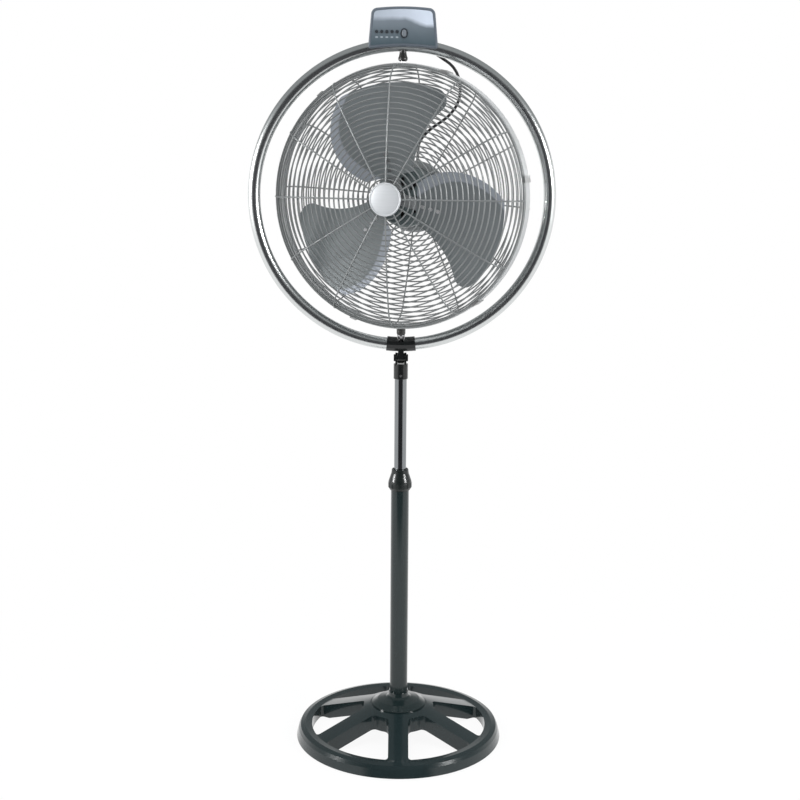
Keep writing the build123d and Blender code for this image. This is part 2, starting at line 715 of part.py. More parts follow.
pinion_root = gear_module * pinion_teeth / 2 - dedendum
with BuildPart() as swing_pinion:
    with BuildSketch(Plane(origin=(gear_distance, 0, gear_bottom - 0.5), z_dir=(0, 0, 1))):
        Circle(pinion_root)
        for index in range(pinion_teeth):
            turn = radians(180 + (index + 0.5) * 360 / pinion_teeth)
            make_face(tooth_edges(pinion_teeth, turn, addendum, dedendum, backlash))
    extrude(amount=gear_thickness + 1)
    with BuildSketch(Plane(origin=(gear_distance, 0, gear_bottom + gear_thickness + 0.5), z_dir=(0, 0, 1))):
        Circle(3)
    extrude(amount=7)
swing_pinion.part.label = "swing_pinion"
export_step(swing_pinion.part, "parts/swing_pinion.step")

# Upper pivot shaft: steel, from the hoop's upper boss through the bush to the sector
shaft_foot = hoop_top - boss_length + 1
with BuildPart() as upper_pivot_shaft:
    with BuildSketch(Plane.XY.offset(shaft_foot)):
        Circle(pivot_radius)
    extrude(amount=gear_bottom + gear_thickness + 1 - shaft_foot)
    with BuildSketch(Plane.XY.offset(gear_bottom + gear_thickness)):
        RegularPolygon(6.5, 6)
    extrude(amount=3)
upper_pivot_shaft.part.label = "upper_pivot_shaft"
export_step(upper_pivot_shaft.part, "parts/upper_pivot_shaft.step")

# Control box: a front and a back shell that close over the top of the ring
box_bottom = 1454.0
box_rise = 4.4          # the lower edge arches up in the middle
box_top = 1534.0
box_bottom_half = 69.0
box_top_half = 62.0
box_corner = 13.0
box_foot_corner = 5.0
box_crown = 4.0
front_round = 4.0
corner_posts = ((-60.0, 1481.0), (60.0, 1481.0), (-45.0, 1519.0), (6.0, 1523.0))
post_outer = 4.0


def box_outline(inset):
    """Outline of the box seen from the front, drawn inside by a wall."""
    low = box_bottom + inset
    top = box_top - box_crown - inset
    wide = box_bottom_half - inset
    narrow = box_top_half - inset
    with BuildLine() as outline:
        ThreePointArc((-wide, low), (0, low + box_rise), (wide, low))
        Line((wide, low), (narrow, top))
        ThreePointArc((narrow, top), (0, top + box_crown), (-narrow, top))
        Line((-narrow, top), (-wide, low))
    return outline.edges()


key_names = ("speed_key_1", "speed_key_2", "speed_key_3", "speed_key_4", "speed_key_5")
key_height = 1486.0
key_pitch = 10.0
key_first = -52.0
key_radius = 3.2
power_x = 2.0
power_height = 1483.0
power_width = 8.4
power_length = 13.4
key_gap = 0.25
panel_thickness = 1.2
panel_inset = 5.0
panel_proud = 0.4
FRONT = Plane(origin=(0, -box_depth, 0), x_dir=(1, 0, 0), z_dir=(0, -1, 0))
BACK = Plane(origin=(0, box_depth, 0), x_dir=(1, 0, 0), z_dir=(0, -1, 0))
MIDDLE = Plane(origin=(0, 0, 0), x_dir=(1, 0, 0), z_dir=(0, -1, 0))


def key_holes(gap):
    """The five round keys and the upright oval power key, seen from the front."""
    for index in range(len(key_names)):
        with Locations((key_first + index * key_pitch, key_height)):
            Circle(key_radius + gap)
    with Locations((power_x, power_height)):
        SlotOverall(power_length + 2 * gap, power_width + 2 * gap, rotation=90)


with BuildPart() as box_front:
    with BuildSketch(MIDDLE) as front_face:
        make_face(box_outline(0))
        fillet(front_face.vertices().group_by(Axis.Y)[-1], box_corner)
        fillet(front_face.vertices().group_by(Axis.Y)[0], box_foot_corner)
    extrude(amount=box_depth)
    chamfer(box_front.faces().sort_by(Axis.Y)[0].edges(), front_round / 2)
    with BuildSketch(MIDDLE) as front_hollow:
        make_face(box_outline(box_wall))
        fillet(front_hollow.vertices().group_by(Axis.Y)[-1], box_corner - box_wall)
    extrude(amount=box_depth - box_wall, mode=Mode.SUBTRACT)
    # posts for the screws, then the recess of the face panel and the holes for the keys
    with BuildSketch(MIDDLE):
        with Locations(*corner_posts):
            Circle(post_outer)
            Circle(screw_radius, mode=Mode.SUBTRACT)
    extrude(amount=box_depth - box_wall + 0.5)
    with BuildSketch(FRONT) as panel_recess:
        make_face(box_outline(panel_inset))
        fillet(panel_recess.vertices().group_by(Axis.Y)[-1], box_corner - panel_inset)
        fillet(panel_recess.vertices().group_by(Axis.Y)[0], 2)
    extrude(amount=-(panel_thickness - panel_proud), mode=Mode.SUBTRACT)
    with BuildSketch(FRONT):
        key_holes(key_gap)
    extrude(amount=-box_wall - 2, mode=Mode.SUBTRACT)
    # the saddle over the ring's tube
    with BuildSketch(ring_section(60)):
        RegularPolygon(tube_radius + 2 * face_gap, tube_sides)
    revolve(axis=RING_AXIS, revolution_arc=60, mode=Mode.SUBTRACT)
box_front.part.label = "box_front"
export_step(box_front.part, "parts/box_front.step")

inlet_height = 1500.0
inlet_x = -30.0
inlet_radius = 5.5
lead_radius = 3.0
lead_x = 46.0
lead_height = 1466.0
gland_radius = 5.0
with BuildPart() as box_back:
    with BuildSketch(MIDDLE) as back_face:
        make_face(box_outline(0))
        fillet(back_face.vertices().group_by(Axis.Y)[-1], box_corner)
        fillet(back_face.vertices().group_by(Axis.Y)[0], box_foot_corner)
    extrude(amount=-box_depth)
    chamfer(box_back.faces().sort_by(Axis.Y)[-1].edges(), front_round / 2)
    with BuildSketch(MIDDLE) as back_hollow:
        make_face(box_outline(box_wall))
        fillet(back_hollow.vertices().group_by(Axis.Y)[-1], box_corner - box_wall)
    extrude(amount=-(box_depth - box_wall), mode=Mode.SUBTRACT)
    with BuildSketch(MIDDLE):
        with Locations(*corner_posts):
            Circle(post_outer)
    extrude(amount=-(box_depth - box_wall + 0.5))
    with BuildSketch(MIDDLE):
        with Locations(*corner_posts):
            Circle(screw_radius + seat_gap)
    extrude(amount=-box_depth - 1, mode=Mode.SUBTRACT)
    with BuildSketch(BACK):
        with Locations(*corner_posts):
            Circle(2 * screw_radius + seat_gap)
    extrude(amount=4, mode=Mode.SUBTRACT)
    # holes for the mains inlet and for the motor's lead
    with BuildSketch(BACK):
        with Locations((inlet_x, inlet_height)):
            Circle(inlet_radius)
        with Locations((lead_x, lead_height)):
            Circle(gland_radius)
    extrude(amount=box_wall + 1, mode=Mode.SUBTRACT)
    with BuildSketch(ring_section(60)):
        RegularPolygon(tube_radius + 2 * face_gap, tube_sides)
    revolve(axis=RING_AXIS, revolution_arc=60, mode=Mode.SUBTRACT)
box_back.part.label = "box_back"
export_step(box_back.part, "parts/box_back.step")

# Box screws: four, from the back into the front shell's posts
screw_reach = 12.0
with BuildPart() as box_screws:
    with BuildSketch(BACK.offset(4)):
        with Locations(*corner_posts):
            Circle(2 * screw_radius)
    extrude(amount=-2.2)
    with BuildSketch(BACK.offset(4)):
        with Locations(*corner_posts):
            Circle(screw_radius)
    extrude(amount=box_depth - 4 + screw_reach)
box_screws.part.label = "box_screws"
export_step(box_screws.part, "parts/box_screws.step")

# Face panel: a slate-grey plate let into the front shell
with BuildPart() as face_panel:
    with BuildSketch(FRONT.offset(panel_proud)) as panel_plate:
        make_face(box_outline(panel_inset + seat_gap))
        fillet(panel_plate.vertices().group_by(Axis.Y)[-1], box_corner - panel_inset)
        fillet(panel_plate.vertices().group_by(Axis.Y)[0], 2)
    extrude(amount=-panel_thickness)
    with BuildSketch(FRONT.offset(panel_proud)):
        key_holes(key_gap)
    extrude(amount=-panel_thickness, mode=Mode.SUBTRACT)
face_panel.part.label = "face_panel"
export_step(face_panel.part, "parts/face_panel.step")

# Oval surround of the power key
bezel_thickness = 1.4
with BuildPart() as button_bezel:
    with BuildSketch(FRONT.offset(panel_proud)):
        with Locations((power_x, power_height)):
            Ellipse(7, 9.5)
            hole_length = power_length + 2 * key_gap
            SlotOverall(hole_length, power_width + 2 * key_gap, rotation=90, mode=Mode.SUBTRACT)
    extrude(amount=bezel_thickness)
button_bezel.part.label = "button_bezel"
export_step(button_bezel.part, "parts/button_bezel.step")

# Keys: each has a collar behind the shell's wall and a stem to its switch on the board
key_travel = 1.2
key_proud = 1.9
collar_back = 1.6
inner_wall = box_depth - box_wall
board_front = 28.0
board_thickness = 1.6
switch_height = inner_wall - collar_back - key_gap - key_travel - face_gap - board_front
for index, key_name in enumerate(key_names):
    with BuildPart() as speed_key:
        key_x = key_first + index * key_pitch
        with BuildSketch(FRONT.offset(panel_proud + key_proud)):
            with Locations((key_x, key_height)):
                Circle(key_radius)
        extrude(amount=-(panel_proud + key_proud + box_wall + key_gap))
        chamfer(speed_key.faces().sort_by(Axis.Y)[0].edges(), 0.5)
        with BuildSketch(FRONT.offset(-box_wall - key_gap)):
            with Locations((key_x, key_height)):
                Circle(key_radius + 1)
        extrude(amount=-collar_back)
    speed_key.part.label = key_name
    export_step(speed_key.part, f"parts/{key_name}.step")

with BuildPart() as power_key:
    with BuildSketch(FRONT.offset(panel_proud + bezel_thickness + key_proud)):
        with Locations((power_x, power_height)):
            SlotOverall(power_length, power_width, rotation=90)
    extrude(amount=-(panel_proud + bezel_thickness + key_proud + box_wall + key_gap))
    chamfer(power_key.faces().sort_by(Axis.Y)[0].edges(), 0.6)
    with BuildSketch(FRONT.offset(-box_wall - key_gap)):
        with Locations((power_x, power_height)):
            SlotOverall(power_length + 2, power_width + 2, rotation=90)
    extrude(amount=-collar_back)
power_key.part.label = "power_key"
export_step(power_key.part, "parts/power_key.step")

# Circuit board behind the keys, with a switch for each
board_left = -53.0
board_right = 13.0
board_low = 1480.0
board_high = 1512.0
BOARD = Plane(origin=(0, -board_front, 0), x_dir=(1, 0, 0), z_dir=(0, -1, 0))
with BuildPart() as circuit_board:
    with BuildSketch(BOARD):
        with Locations(((board_left + board_right) / 2, (board_low + board_high) / 2)):
            Rectangle(board_right - board_left, board_high - board_low)
    extrude(amount=-board_thickness)
    with BuildSketch(BOARD):
        for index in range(len(key_names)):
            with Locations((key_first + index * key_pitch, key_height)):
                Rectangle(5, 5)
        with Locations((power_x, power_height)):
            Rectangle(5, 5)
    extrude(amount=switch_height)
    # two pins that carry the board on the front shell
    with BuildSketch(BOARD):
        with Locations((-40, board_high - 4), (-8, board_high - 4)):
            Circle(2)
    extrude(amount=inner_wall - board_front - 0.05)
circuit_board.part.label = "circuit_board"
export_step(circuit_board.part, "parts/circuit_board.step")

# Mains inlet: a gland on the back of the box
with BuildPart() as mains_gland:
    with BuildSketch(BACK.offset(box_wall + 2)):
        with Locations((inlet_x, inlet_height)):
            Circle(inlet_radius - slip_fit)
            Circle(3.6, mode=Mode.SUBTRACT)
    extrude(amount=-(box_wall + 4))
    with BuildSketch(BACK):
        with Locations((inlet_x, inlet_height)):
            Circle(inlet_radius + 1.6)
            Circle(3.6, mode=Mode.SUBTRACT)
    extrude(amount=-1.8)
mains_gland.part.label = "mains_gland"
export_step(mains_gland.part, "parts/mains_gland.step")

# Gland of the motor's lead, on the back of the box
gland_proud = 4.0
with BuildPart() as lead_gland:
    with BuildSketch(BACK.offset(box_wall + 2)):
        with Locations((lead_x, lead_height)):
            Circle(gland_radius - slip_fit)
            Circle(lead_radius, mode=Mode.SUBTRACT)
    extrude(amount=-(box_wall + 2 + gland_proud))
    with BuildSketch(BACK):
        with Locations((lead_x, lead_height)):
            Circle(gland_radius + 1.6)
            Circle(lead_radius, mode=Mode.SUBTRACT)
    extrude(amount=-1.8)
lead_gland.part.label = "lead_gland"
export_step(lead_gland.part, "parts/lead_gland.step")

# Hoop: a steel band with its edges turned in, and a boss for each pivot
hoop_front = 26.0       # the band's edges, measured forward from the swing axis
hoop_back = -6.0
hoop_lip = 5.0
HEAD_SIDE = meridian(0)
with BuildPart() as guard_hoop:
    with BuildSketch(HEAD_SIDE):
        with BuildLine():
            Polyline(
                (hoop_radius, hoop_back),
                (hoop_radius, hoop_front),
                (hoop_radius - hoop_lip, hoop_front),
                (hoop_radius - hoop_lip, hoop_front - hoop_wall),
                (hoop_radius - hoop_wall, hoop_front - hoop_wall),
                (hoop_radius - hoop_wall, hoop_back + hoop_wall),
                (hoop_radius - hoop_lip, hoop_back + hoop_wall),
                (hoop_radius - hoop_lip, hoop_back),
                close=True,
            )
        make_face()
    revolve(axis=HEAD_AXIS)
    for face_height, inward in ((hoop_top - 0.2, -1), (hoop_bottom + 0.2, 1)):
        with BuildSketch(Plane(origin=(0, 0, face_height), z_dir=(0, 0, inward))):
            Circle(pivot_boss_radius)
        extrude(amount=boss_length)
    with BuildSketch(Plane.XY.offset(hoop_top + 1)):
        Circle(pivot_radius)
    extrude(amount=-boss_length - 3, mode=Mode.SUBTRACT)
    with BuildSketch(Plane.XY.offset(hoop_bottom - 1)):
        Circle(pivot_radius + slip_fit)
    extrude(amount=boss_length + 3, mode=Mode.SUBTRACT)
guard_hoop.part.label = "guard_hoop"
export_step(guard_hoop.part, "parts/guard_hoop.step")

# Guards: concentric wire rings on radial wires. The meridian is a shallow face arc that runs into a
# tighter bend at the rim. Only every few rings are drawn here.
wire = 3.2
rim_wire = 4.4
ring_pitch = 10.4       # from ring to ring along the wires
front_step = 3          # every third ring of a guard is drawn
back_step = 3
front_first = 50.0      # radius of the first drawn ring of the front guard
radial_count = 12
rear_turn = -4.0        # the rear guard's radial wires stand this far round from the front guard's
guard_radius = hoop_radius - hoop_wall - rim_wire / 2 - seat_gap
rim_bend = 48.0
front_dome = 69.0       # depth of the front guard, from its rim wire to its middle
back_dome = 77.0
front_rim = hoop_front + rim_wire / 2 + seat_gap    # the rim wires sit on the hoop's two edges
back_rim = hoop_back - rim_wire / 2 - seat_gap
badge_radius = 33.0
center_disc = 30.0
motor_plate_radius = 74.0


def face_radius(depth):
    """Radius of the face arc that is tangent to the rim's bend and reaches the depth on the axis."""
    reach = guard_radius - rim_bend
    return (reach**2 + depth**2 - rim_bend**2) / (2 * (depth - rim_bend))


def tangent_radius(depth):
    """Distance from the axis where the face arc runs into the rim's bend."""
    return (guard_radius - rim_bend) * face_radius(depth) / (face_radius(depth) - rim_bend)


def dome(radius, depth):
    """Depth of the guard at a distance from the axis, measured from its rim wire."""
    face = face_radius(depth)
    if radius < tangent_radius(depth):
        return depth - face + sqrt(face**2 - radius**2)
    return sqrt(max(rim_bend**2 - (radius - guard_radius + rim_bend) ** 2, 0))


def ring_radii(depth, first, step):
    """Radii of the drawn rings, spaced evenly along the meridian from the first one outward."""
    radii = []
    radius = first
    walked = step * ring_pitch
    while radius < guard_radius - wire:
        if walked >= step * ring_pitch:
            radii.append(radius)
            walked = 0
        slope = dome(radius - 0.5, depth) - dome(radius + 0.5, depth)
        radius += 0.5
        walked += 0.5 * sqrt(1 + slope**2)
    return radii


def radial_outline(depth, start, sign, rim):
    """Side view of a radial wire, which lies on the outside of the rings."""
    turn = tangent_radius(depth)
    half = (start + turn) / 2
    bend = guard_radius - rim_bend + rim_bend * sin(radians(50))
    inside = 0.5 * wire - 0.4

    def at(radius, lift):
        return (radius, rim + sign * (dome(radius, depth) + lift))

    low_turn, high_turn = at(turn, inside), at(turn, inside + wire)
    low_end = (guard_radius + inside - 0.6, rim + sign * rim_wire * 0.2)
    high_end = (guard_radius + inside - 0.6, rim + sign * 0.9 * rim_wire)
    with BuildLine() as outline:
        ThreePointArc(at(start, inside), at(half, inside), low_turn)
        ThreePointArc(low_turn, at(bend, inside * 0.7), low_end)
        Line(low_end, high_end)
        ThreePointArc(high_end, at(bend + 0.5, inside + wire), high_turn)
        ThreePointArc(high_turn, at(half, inside + wire), at(start, inside + wire))
        Line(at(start, inside + wire), at(start, inside))
    return outline.edges()


front_radii = ring_radii(front_dome, front_first, front_step)
ring_seam = 7.0         # the rings' seams lie beside a radial wire
with BuildPart() as front_guard:
    with BuildSketch(meridian(ring_seam)):
        for radius in front_radii:
            with Locations((radius, front_rim + dome(radius, front_dome))):
                RegularPolygon(wire * 0.62, 3, rotation=90)
        with Locations((guard_radius, front_rim)):
            Rectangle(rim_wire, rim_wire)
    revolve(axis=HEAD_AXIS)
    for index in range(radial_count):
        with BuildSketch(meridian(index * 360 / radial_count)):
            make_face(radial_outline(front_dome, center_disc - 6, 1, front_rim))
        extrude(amount=wire / 2, both=True)
    with BuildSketch(HEAD.offset(front_rim + front_dome + 0.5 * wire - 2)):
        Circle(center_disc)
    extrude(amount=1.6)
front_guard.part.label = "front_guard"
export_step(front_guard.part, "parts/front_guard.step")

# Rear guard, with a flat ring in its middle for the motor plate
back_radii = ring_radii(back_dome, motor_plate_radius + 8, back_step)
plate_back = back_rim - dome(motor_plate_radius - 4, back_dome)
motor_back = plate_back + 2.5
plate_sheet = 2.0
with BuildPart() as rear_guard:
    with BuildSketch(HEAD_SIDE):
        for radius in back_radii:
            with Locations((radius, back_rim - dome(radius, back_dome))):
                RegularPolygon(wire * 0.62, 3, rotation=-90)
        with Locations((guard_radius, back_rim)):
            Rectangle(rim_wire, rim_wire)
    revolve(axis=HEAD_AXIS)
    for index in range(radial_count):
        with BuildSketch(meridian(rear_turn + index * 360 / radial_count)):
            make_face(radial_outline(back_dome, motor_plate_radius - 9, -1, back_rim))
        extrude(amount=wire / 2, both=True)
    with BuildSketch(HEAD.offset(motor_back - plate_sheet - 0.15)):
        Circle(motor_plate_radius - 2)
        Circle(motor_plate_radius - 14, mode=Mode.SUBTRACT)
    extrude(amount=-2.4)
rear_guard.part.label = "rear_guard"
export_step(rear_guard.part, "parts/rear_guard.step")

# Guard clips: spring-steel clips over the hoop
clip_count = 6
clip_start = 9.0
clip_width = 14.0
clip_wall = 1.2
clip_leg = 5.0
with BuildPart() as guard_clips:
    for index in range(clip_count):
        with BuildSketch(meridian(clip_start + index * 360 / clip_count)):
            with BuildLine():
                outside = hoop_radius + 0.15
                forward = front_rim + rim_wire / 2 + 0.2
                backward = back_rim - rim_wire / 2 - 0.2
                Polyline(
                    (outside, backward),
                    (outside, forward),
                    (outside - clip_leg, forward),
                    (outside - clip_leg, forward + clip_wall),
                    (outside + clip_wall, forward + clip_wall),
                    (outside + clip_wall, backward - clip_wall),
                    (outside - clip_leg, backward - clip_wall),
                    (outside - clip_leg, backward),
                    close=True,
                )
            make_face()
        extrude(amount=clip_width / 2, both=True)
guard_clips.part.label = "guard_clips"
export_step(guard_clips.part, "parts/guard_clips.step")

# Badge: a plain domed disc over the middle of the front guard
badge_back = front_rim + front_dome + 1.5 * wire - 0.3
badge_edge = 2.0
badge_rise = 2.5
badge_top = badge_back + badge_edge + badge_rise
with BuildPart() as badge:
    with BuildSketch(HEAD_SIDE):
        with BuildLine():
            Line((0, badge_back), (badge_radius, badge_back))
            Line((badge_radius, badge_back), (badge_radius, badge_back + badge_edge))
            Line((badge_radius, badge_back + badge_edge), (badge_radius * 0.6, badge_top - 0.8))
            Line((badge_radius * 0.6, badge_top - 0.8), (0, badge_top))
            Line((0, badge_top), (0, badge_back))
        make_face()
    revolve(axis=HEAD_AXIS)
badge.part.label = "badge"
export_step(badge.part, "parts/badge.step")

# Fan motor: two end bells on the stator, bearings in their middles
motor_radius = 61.0
motor_wall = 3.0
motor_front = -2.0
motor_split = -38.0
stator_radius = motor_radius - motor_wall - seat_gap
stator_bore = 30.5
stator_half = 16.0
shaft_radius = 5.0
bearing_radius = 14.0
bearing_width = 9.0
bearing_wall = 3.0
vent_count = 8
with BuildPart() as motor_front_bell:
    with BuildSketch(HEAD_SIDE):
        with BuildLine():
            outer_edge = motor_radius
            boss_edge = bearing_radius + bearing_wall
            Line((shaft_radius + 2, motor_front + 4), (boss_edge, motor_front + 4))
            Line((boss_edge, motor_front + 4), (boss_edge + 2, motor_front))
            Line((boss_edge + 2, motor_front), (outer_edge - 16, motor_front - 2))
            Polyline(
                (outer_edge - 16, motor_front - 2),
                (outer_edge - 6, motor_front - 5.5),
                (outer_edge - 1.5, motor_front - 11),
                (outer_edge, motor_front - 18),
            )
            Line((outer_edge, motor_front - 18), (outer_edge, motor_split))
            Line((outer_edge, motor_split), (outer_edge - motor_wall, motor_split))
            Line((outer_edge - motor_wall, motor_split), (outer_edge - motor_wall, motor_front - 18))
            Polyline(
                (outer_edge - motor_wall, motor_front - 18),
                (outer_edge - 7.5, motor_front - 8.5),
                (outer_edge - 17, motor_front - 2 - motor_wall),
            )
            Line(
                (outer_edge - 17, motor_front - 2 - motor_wall),
                (bearing_radius + bearing_wall, motor_front - motor_wall),
            )
            Line(
                (bearing_radius + bearing_wall, motor_front - motor_wall),
                (bearing_radius + bearing_wall, motor_front - bearing_width + 1),
            )
            Line(
                (bearing_radius + bearing_wall, motor_front - bearing_width + 1),
                (bearing_radius + slip_fit / 2, motor_front - bearing_width + 1),
            )
            Line(
                (bearing_radius + slip_fit / 2, motor_front - bearing_width + 1),
                (bearing_radius + slip_fit / 2, motor_front + 1),
            )
            Line((bearing_radius + slip_fit / 2, motor_front + 1), (shaft_radius + 2, motor_front + 1))
            Line((shaft_radius + 2, motor_front + 1), (shaft_radius + 2, motor_front + 4))
        make_face()
    revolve(axis=HEAD_AXIS)
    with BuildSketch(HEAD.offset(motor_front + 4)):
        with PolarLocations(32.5, vent_count):
            SlotOverall(19, 7)
    extrude(amount=-14, mode=Mode.SUBTRACT)
motor_front_bell.part.label = "motor_front_bell"
export_step(motor_front_bell.part, "parts/motor_front_bell.step")

with BuildPart() as motor_rear_bell:
    with BuildSketch(HEAD_SIDE):
        with BuildLine():
            Polyline(
                (bearing_radius + slip_fit / 2, motor_back),
                (motor_radius - 6, motor_back),
                (motor_radius, motor_back + 6),
                (motor_radius, motor_split),
                (motor_radius - motor_wall, motor_split),
                (motor_radius - motor_wall, motor_back + 7),
                (motor_radius - 7, motor_back + motor_wall),
                (bearing_radius + bearing_wall, motor_back + motor_wall),
                (bearing_radius + bearing_wall, motor_back + bearing_width + 1),
                (bearing_radius + slip_fit / 2, motor_back + bearing_width + 1),
                close=True,
            )
        make_face()
    revolve(axis=HEAD_AXIS)
    with BuildSketch(HEAD.offset(motor_back)):
        with PolarLocations(46, 4, start_angle=45):
            Circle(2.5)
    extrude(amount=motor_wall, mode=Mode.SUBTRACT)
motor_rear_bell.part.label = "motor_rear_bell"
export_step(motor_rear_bell.part, "parts/motor_rear_bell.step")

with BuildPart() as motor_stator:
    with BuildSketch(HEAD.offset(motor_split + stator_half)):
        Circle(stator_radius)
        Circle(stator_bore, mode=Mode.SUBTRACT)
    extrude(amount=-2 * stator_half)
motor_stator.part.label = "motor_stator"
export_step(motor_stator.part, "parts/motor_stator.step")

with BuildPart() as motor_bearings:
    for bearing_face in (motor_front + 0.9, motor_back + bearing_width + 0.9):
        with BuildSketch(HEAD.offset(bearing_face)):
            Circle(bearing_radius)
            Circle(shaft_radius + slip_fit / 2, mode=Mode.SUBTRACT)
        extrude(amount=-bearing_width)
motor_bearings.part.label = "motor_bearings"
export_step(motor_bearings.part, "parts/motor_bearings.step")

# Motor plate: pressed steel, bolted to the rear bell and to the guard's flat ring
with BuildPart() as motor_plate:
    with BuildSketch(HEAD.offset(motor_back - 0.05)):
        Circle(motor_plate_radius)
        Circle(bearing_radius + 1, mode=Mode.SUBTRACT)
        with PolarLocations(46, 4, start_angle=45):
            Circle(2.5, mode=Mode.SUBTRACT)
    extrude(amount=-plate_sheet)
motor_plate.part.label = "motor_plate"
export_step(motor_plate.part, "parts/motor_plate.step")

with BuildPart() as motor_bolts:
    for index in range(4):
        angle = radians(45 + 90 * index)
        across = (46 * cos(angle), 46 * sin(angle))
        spot = Plane(
            origin=HEAD.from_local_coords((*across, motor_back - 0.05 - plate_sheet)), z_dir=HEAD.z_dir
        )
        with BuildSketch(spot):
            RegularPolygon(4.6, 6)
        extrude(amount=-3)
        with BuildSketch(spot):
            Circle(2.3)
        extrude(amount=plate_sheet + motor_wall + 3)
motor_bolts.part.label = "motor_bolts"
export_step(motor_bolts.part, "parts/motor_bolts.step")

# Rear cap: a moulded cover over the motor's terminals, behind the plate, with the lead's gland on top
cap_radius = 38.0
cap_depth = 24.0
cap_wall = 2.0
cap_face = motor_back - 0.05 - plate_sheet
with BuildPart() as rear_cap:
    with BuildSketch(HEAD.offset(cap_face)):
        Circle(cap_radius)
    extrude(amount=-cap_depth, taper=6)
    chamfer(rear_cap.faces().sort_by(Axis(ring_center, HEAD.z_dir))[0].edges(), 4)
    with BuildSketch(HEAD.offset(cap_face)):
        Circle(cap_radius - cap_wall)
    extrude(amount=-(cap_depth - cap_wall), taper=6, mode=Mode.SUBTRACT)
    gland_seat = HEAD.from_local_coords((0, 0, cap_face - cap_depth / 2))
    with BuildSketch(Plane(origin=gland_seat, z_dir=(0, 0, 1))):
        Circle(gland_radius)
    extrude(amount=cap_radius + 2, mode=Mode.SUBTRACT)
rear_cap.part.label = "rear_cap"
export_step(rear_cap.part, "parts/rear_cap.step")

gland_rise = 10.0
gland_spot = HEAD.from_local_coords((0, cap_radius - 4, cap_face - cap_depth / 2))
with BuildPart() as head_gland:
    with BuildSketch(Plane(origin=gland_spot, z_dir=(0, 0, 1))):
        Circle(gland_radius - slip_fit)
        Circle(lead_radius, mode=Mode.SUBTRACT)
    extrude(amount=gland_rise)
head_gland.part.label = "head_gland"
export_step(head_gland.part, "parts/head_gland.step")

# Rotor: the motor's core on its shaft
core_radius = stator_bore - 0.5
hub_back = 21.0
hub_front = 43.0
hub_boss = 16.0
shaft_front = hub_front + 14
with BuildPart() as rotor_shaft:
    with BuildSketch(HEAD.offset(motor_back + 1.5)):
        Circle(shaft_radius)
    extrude(amount=shaft_front - motor_back - 1.5)
rotor_shaft.part.label = "rotor_shaft"
export_step(rotor_shaft.part, "parts/rotor_shaft.step")

with BuildPart() as rotor_core:
    with BuildSketch(HEAD.offset(motor_split + stator_half)):
        Circle(core_radius)
        Circle(shaft_radius, mode=Mode.SUBTRACT)
    extrude(amount=-2 * stator_half)
rotor_core.part.label = "rotor_core"
export_step(rotor_core.part, "parts/rotor_core.step")

# Blades: three broad paddles of thin sheet, pitched more at the root than at the tip
blade_count = 3
blade_center = 105.0    # the first blade's middle line
blade_tip = 228.0
blade_sheet = 1.6
blade_plane = 34.0      # how far forward the blades' middle line lies
blade_camber = 16.0     # the long edges bend forward by this much
blade_half = 170.0      # half the width of the sheet that a blade is cut from
root_pitch = 32.0
tip_pitch = 15.0
arm_sheet = 2.5
arm_reach = 100.0
arm_half = 13.0
rivet_radius = 2.2
rivet_spots = (58.0, 75.0, 91.0)
blade_stations = (38.0, 130.0, blade_tip + 4)
arm_stations = (10.0, 55.0, arm_reach)


def pitch_at(reach):
    """Pitch of the blade at a distance from the axis along its middle line."""
    share = (reach - 40) / (blade_tip - 40)
    return root_pitch + (tip_pitch - root_pitch) * share


def blade_plane_at(angle, reach):
    """Plane across a blade: x runs with the turn from leading to trailing edge, y runs forward."""
    outward = outward_at(angle)
    return Plane(origin=ring_center + outward * reach, x_dir=outward_at(angle + 90), z_dir=outward)


def sheet_section(angle, reach, half, low, thickness):
    """Cross-section of bent sheet: an arc from the leading edge, which lies back, to the trailing edge."""
    rise = half * tan(radians(pitch_at(reach)))
    bend = blade_camber * (half / blade_half) ** 2
    with BuildSketch(blade_plane_at(angle, reach)) as section:
        with BuildLine():
            bottom = blade_plane + low
            top = bottom + thickness
            ThreePointArc((-half, bottom - rise + bend), (0, bottom), (half, bottom + rise + bend))
            Line((half, bottom + rise + bend), (half, top + rise + bend))
            ThreePointArc((half, top + rise + bend), (0, top), (-half, top - rise + bend))
            Line((-half, top - rise + bend), (-half, bottom - rise + bend))
        make_face()
    return section.sketch.face()


def rivet_plane(angle, reach):
    """Plane on the back of a blade's middle line, square to the sheet."""
    across = blade_plane_at(angle, reach)
    tilt = radians(pitch_at(reach))
    normal = across.y_dir * cos(tilt) - across.x_dir * sin(tilt)
    return Plane(origin=across.from_local_coords((0, blade_plane)), z_dir=normal)


def polar(reach, angle):
    """A point of the blade's outline, seen from the front, with the blade's middle line along x."""
    return (reach * cos(radians(angle)), reach * sin(radians(angle)))


with BuildPart() as one_blade:
    loft([sheet_section(blade_center, reach, blade_half, 0, blade_sheet) for reach in blade_stations])
    behind = Plane(origin=ring_center - HEAD.z_dir * 60, x_dir=outward_at(blade_center), z_dir=HEAD.z_dir)
    with BuildSketch(behind) as blade_outline:
        with BuildLine():
            ThreePointArc(polar(60, -42), polar(143, -35), polar(blade_tip, -45))
            ThreePointArc(polar(blade_tip, -45), polar(blade_tip, -15), polar(blade_tip, 15))
            ThreePointArc(polar(blade_tip, 15), polar(182, 29), polar(62, 44))
            Line(polar(62, 44), polar(60, -42))
        make_face()
        corners = blade_outline.vertices()
        fillet([corner for corner in corners if Vector(corner.X, corner.Y, 0).length > blade_tip - 2], 24)
    extrude(amount=200, mode=Mode.INTERSECT)
    for reach in rivet_spots:
        with BuildSketch(rivet_plane(blade_center, reach)):
            Circle(rivet_radius)
        extrude(amount=10, both=True, mode=Mode.SUBTRACT)

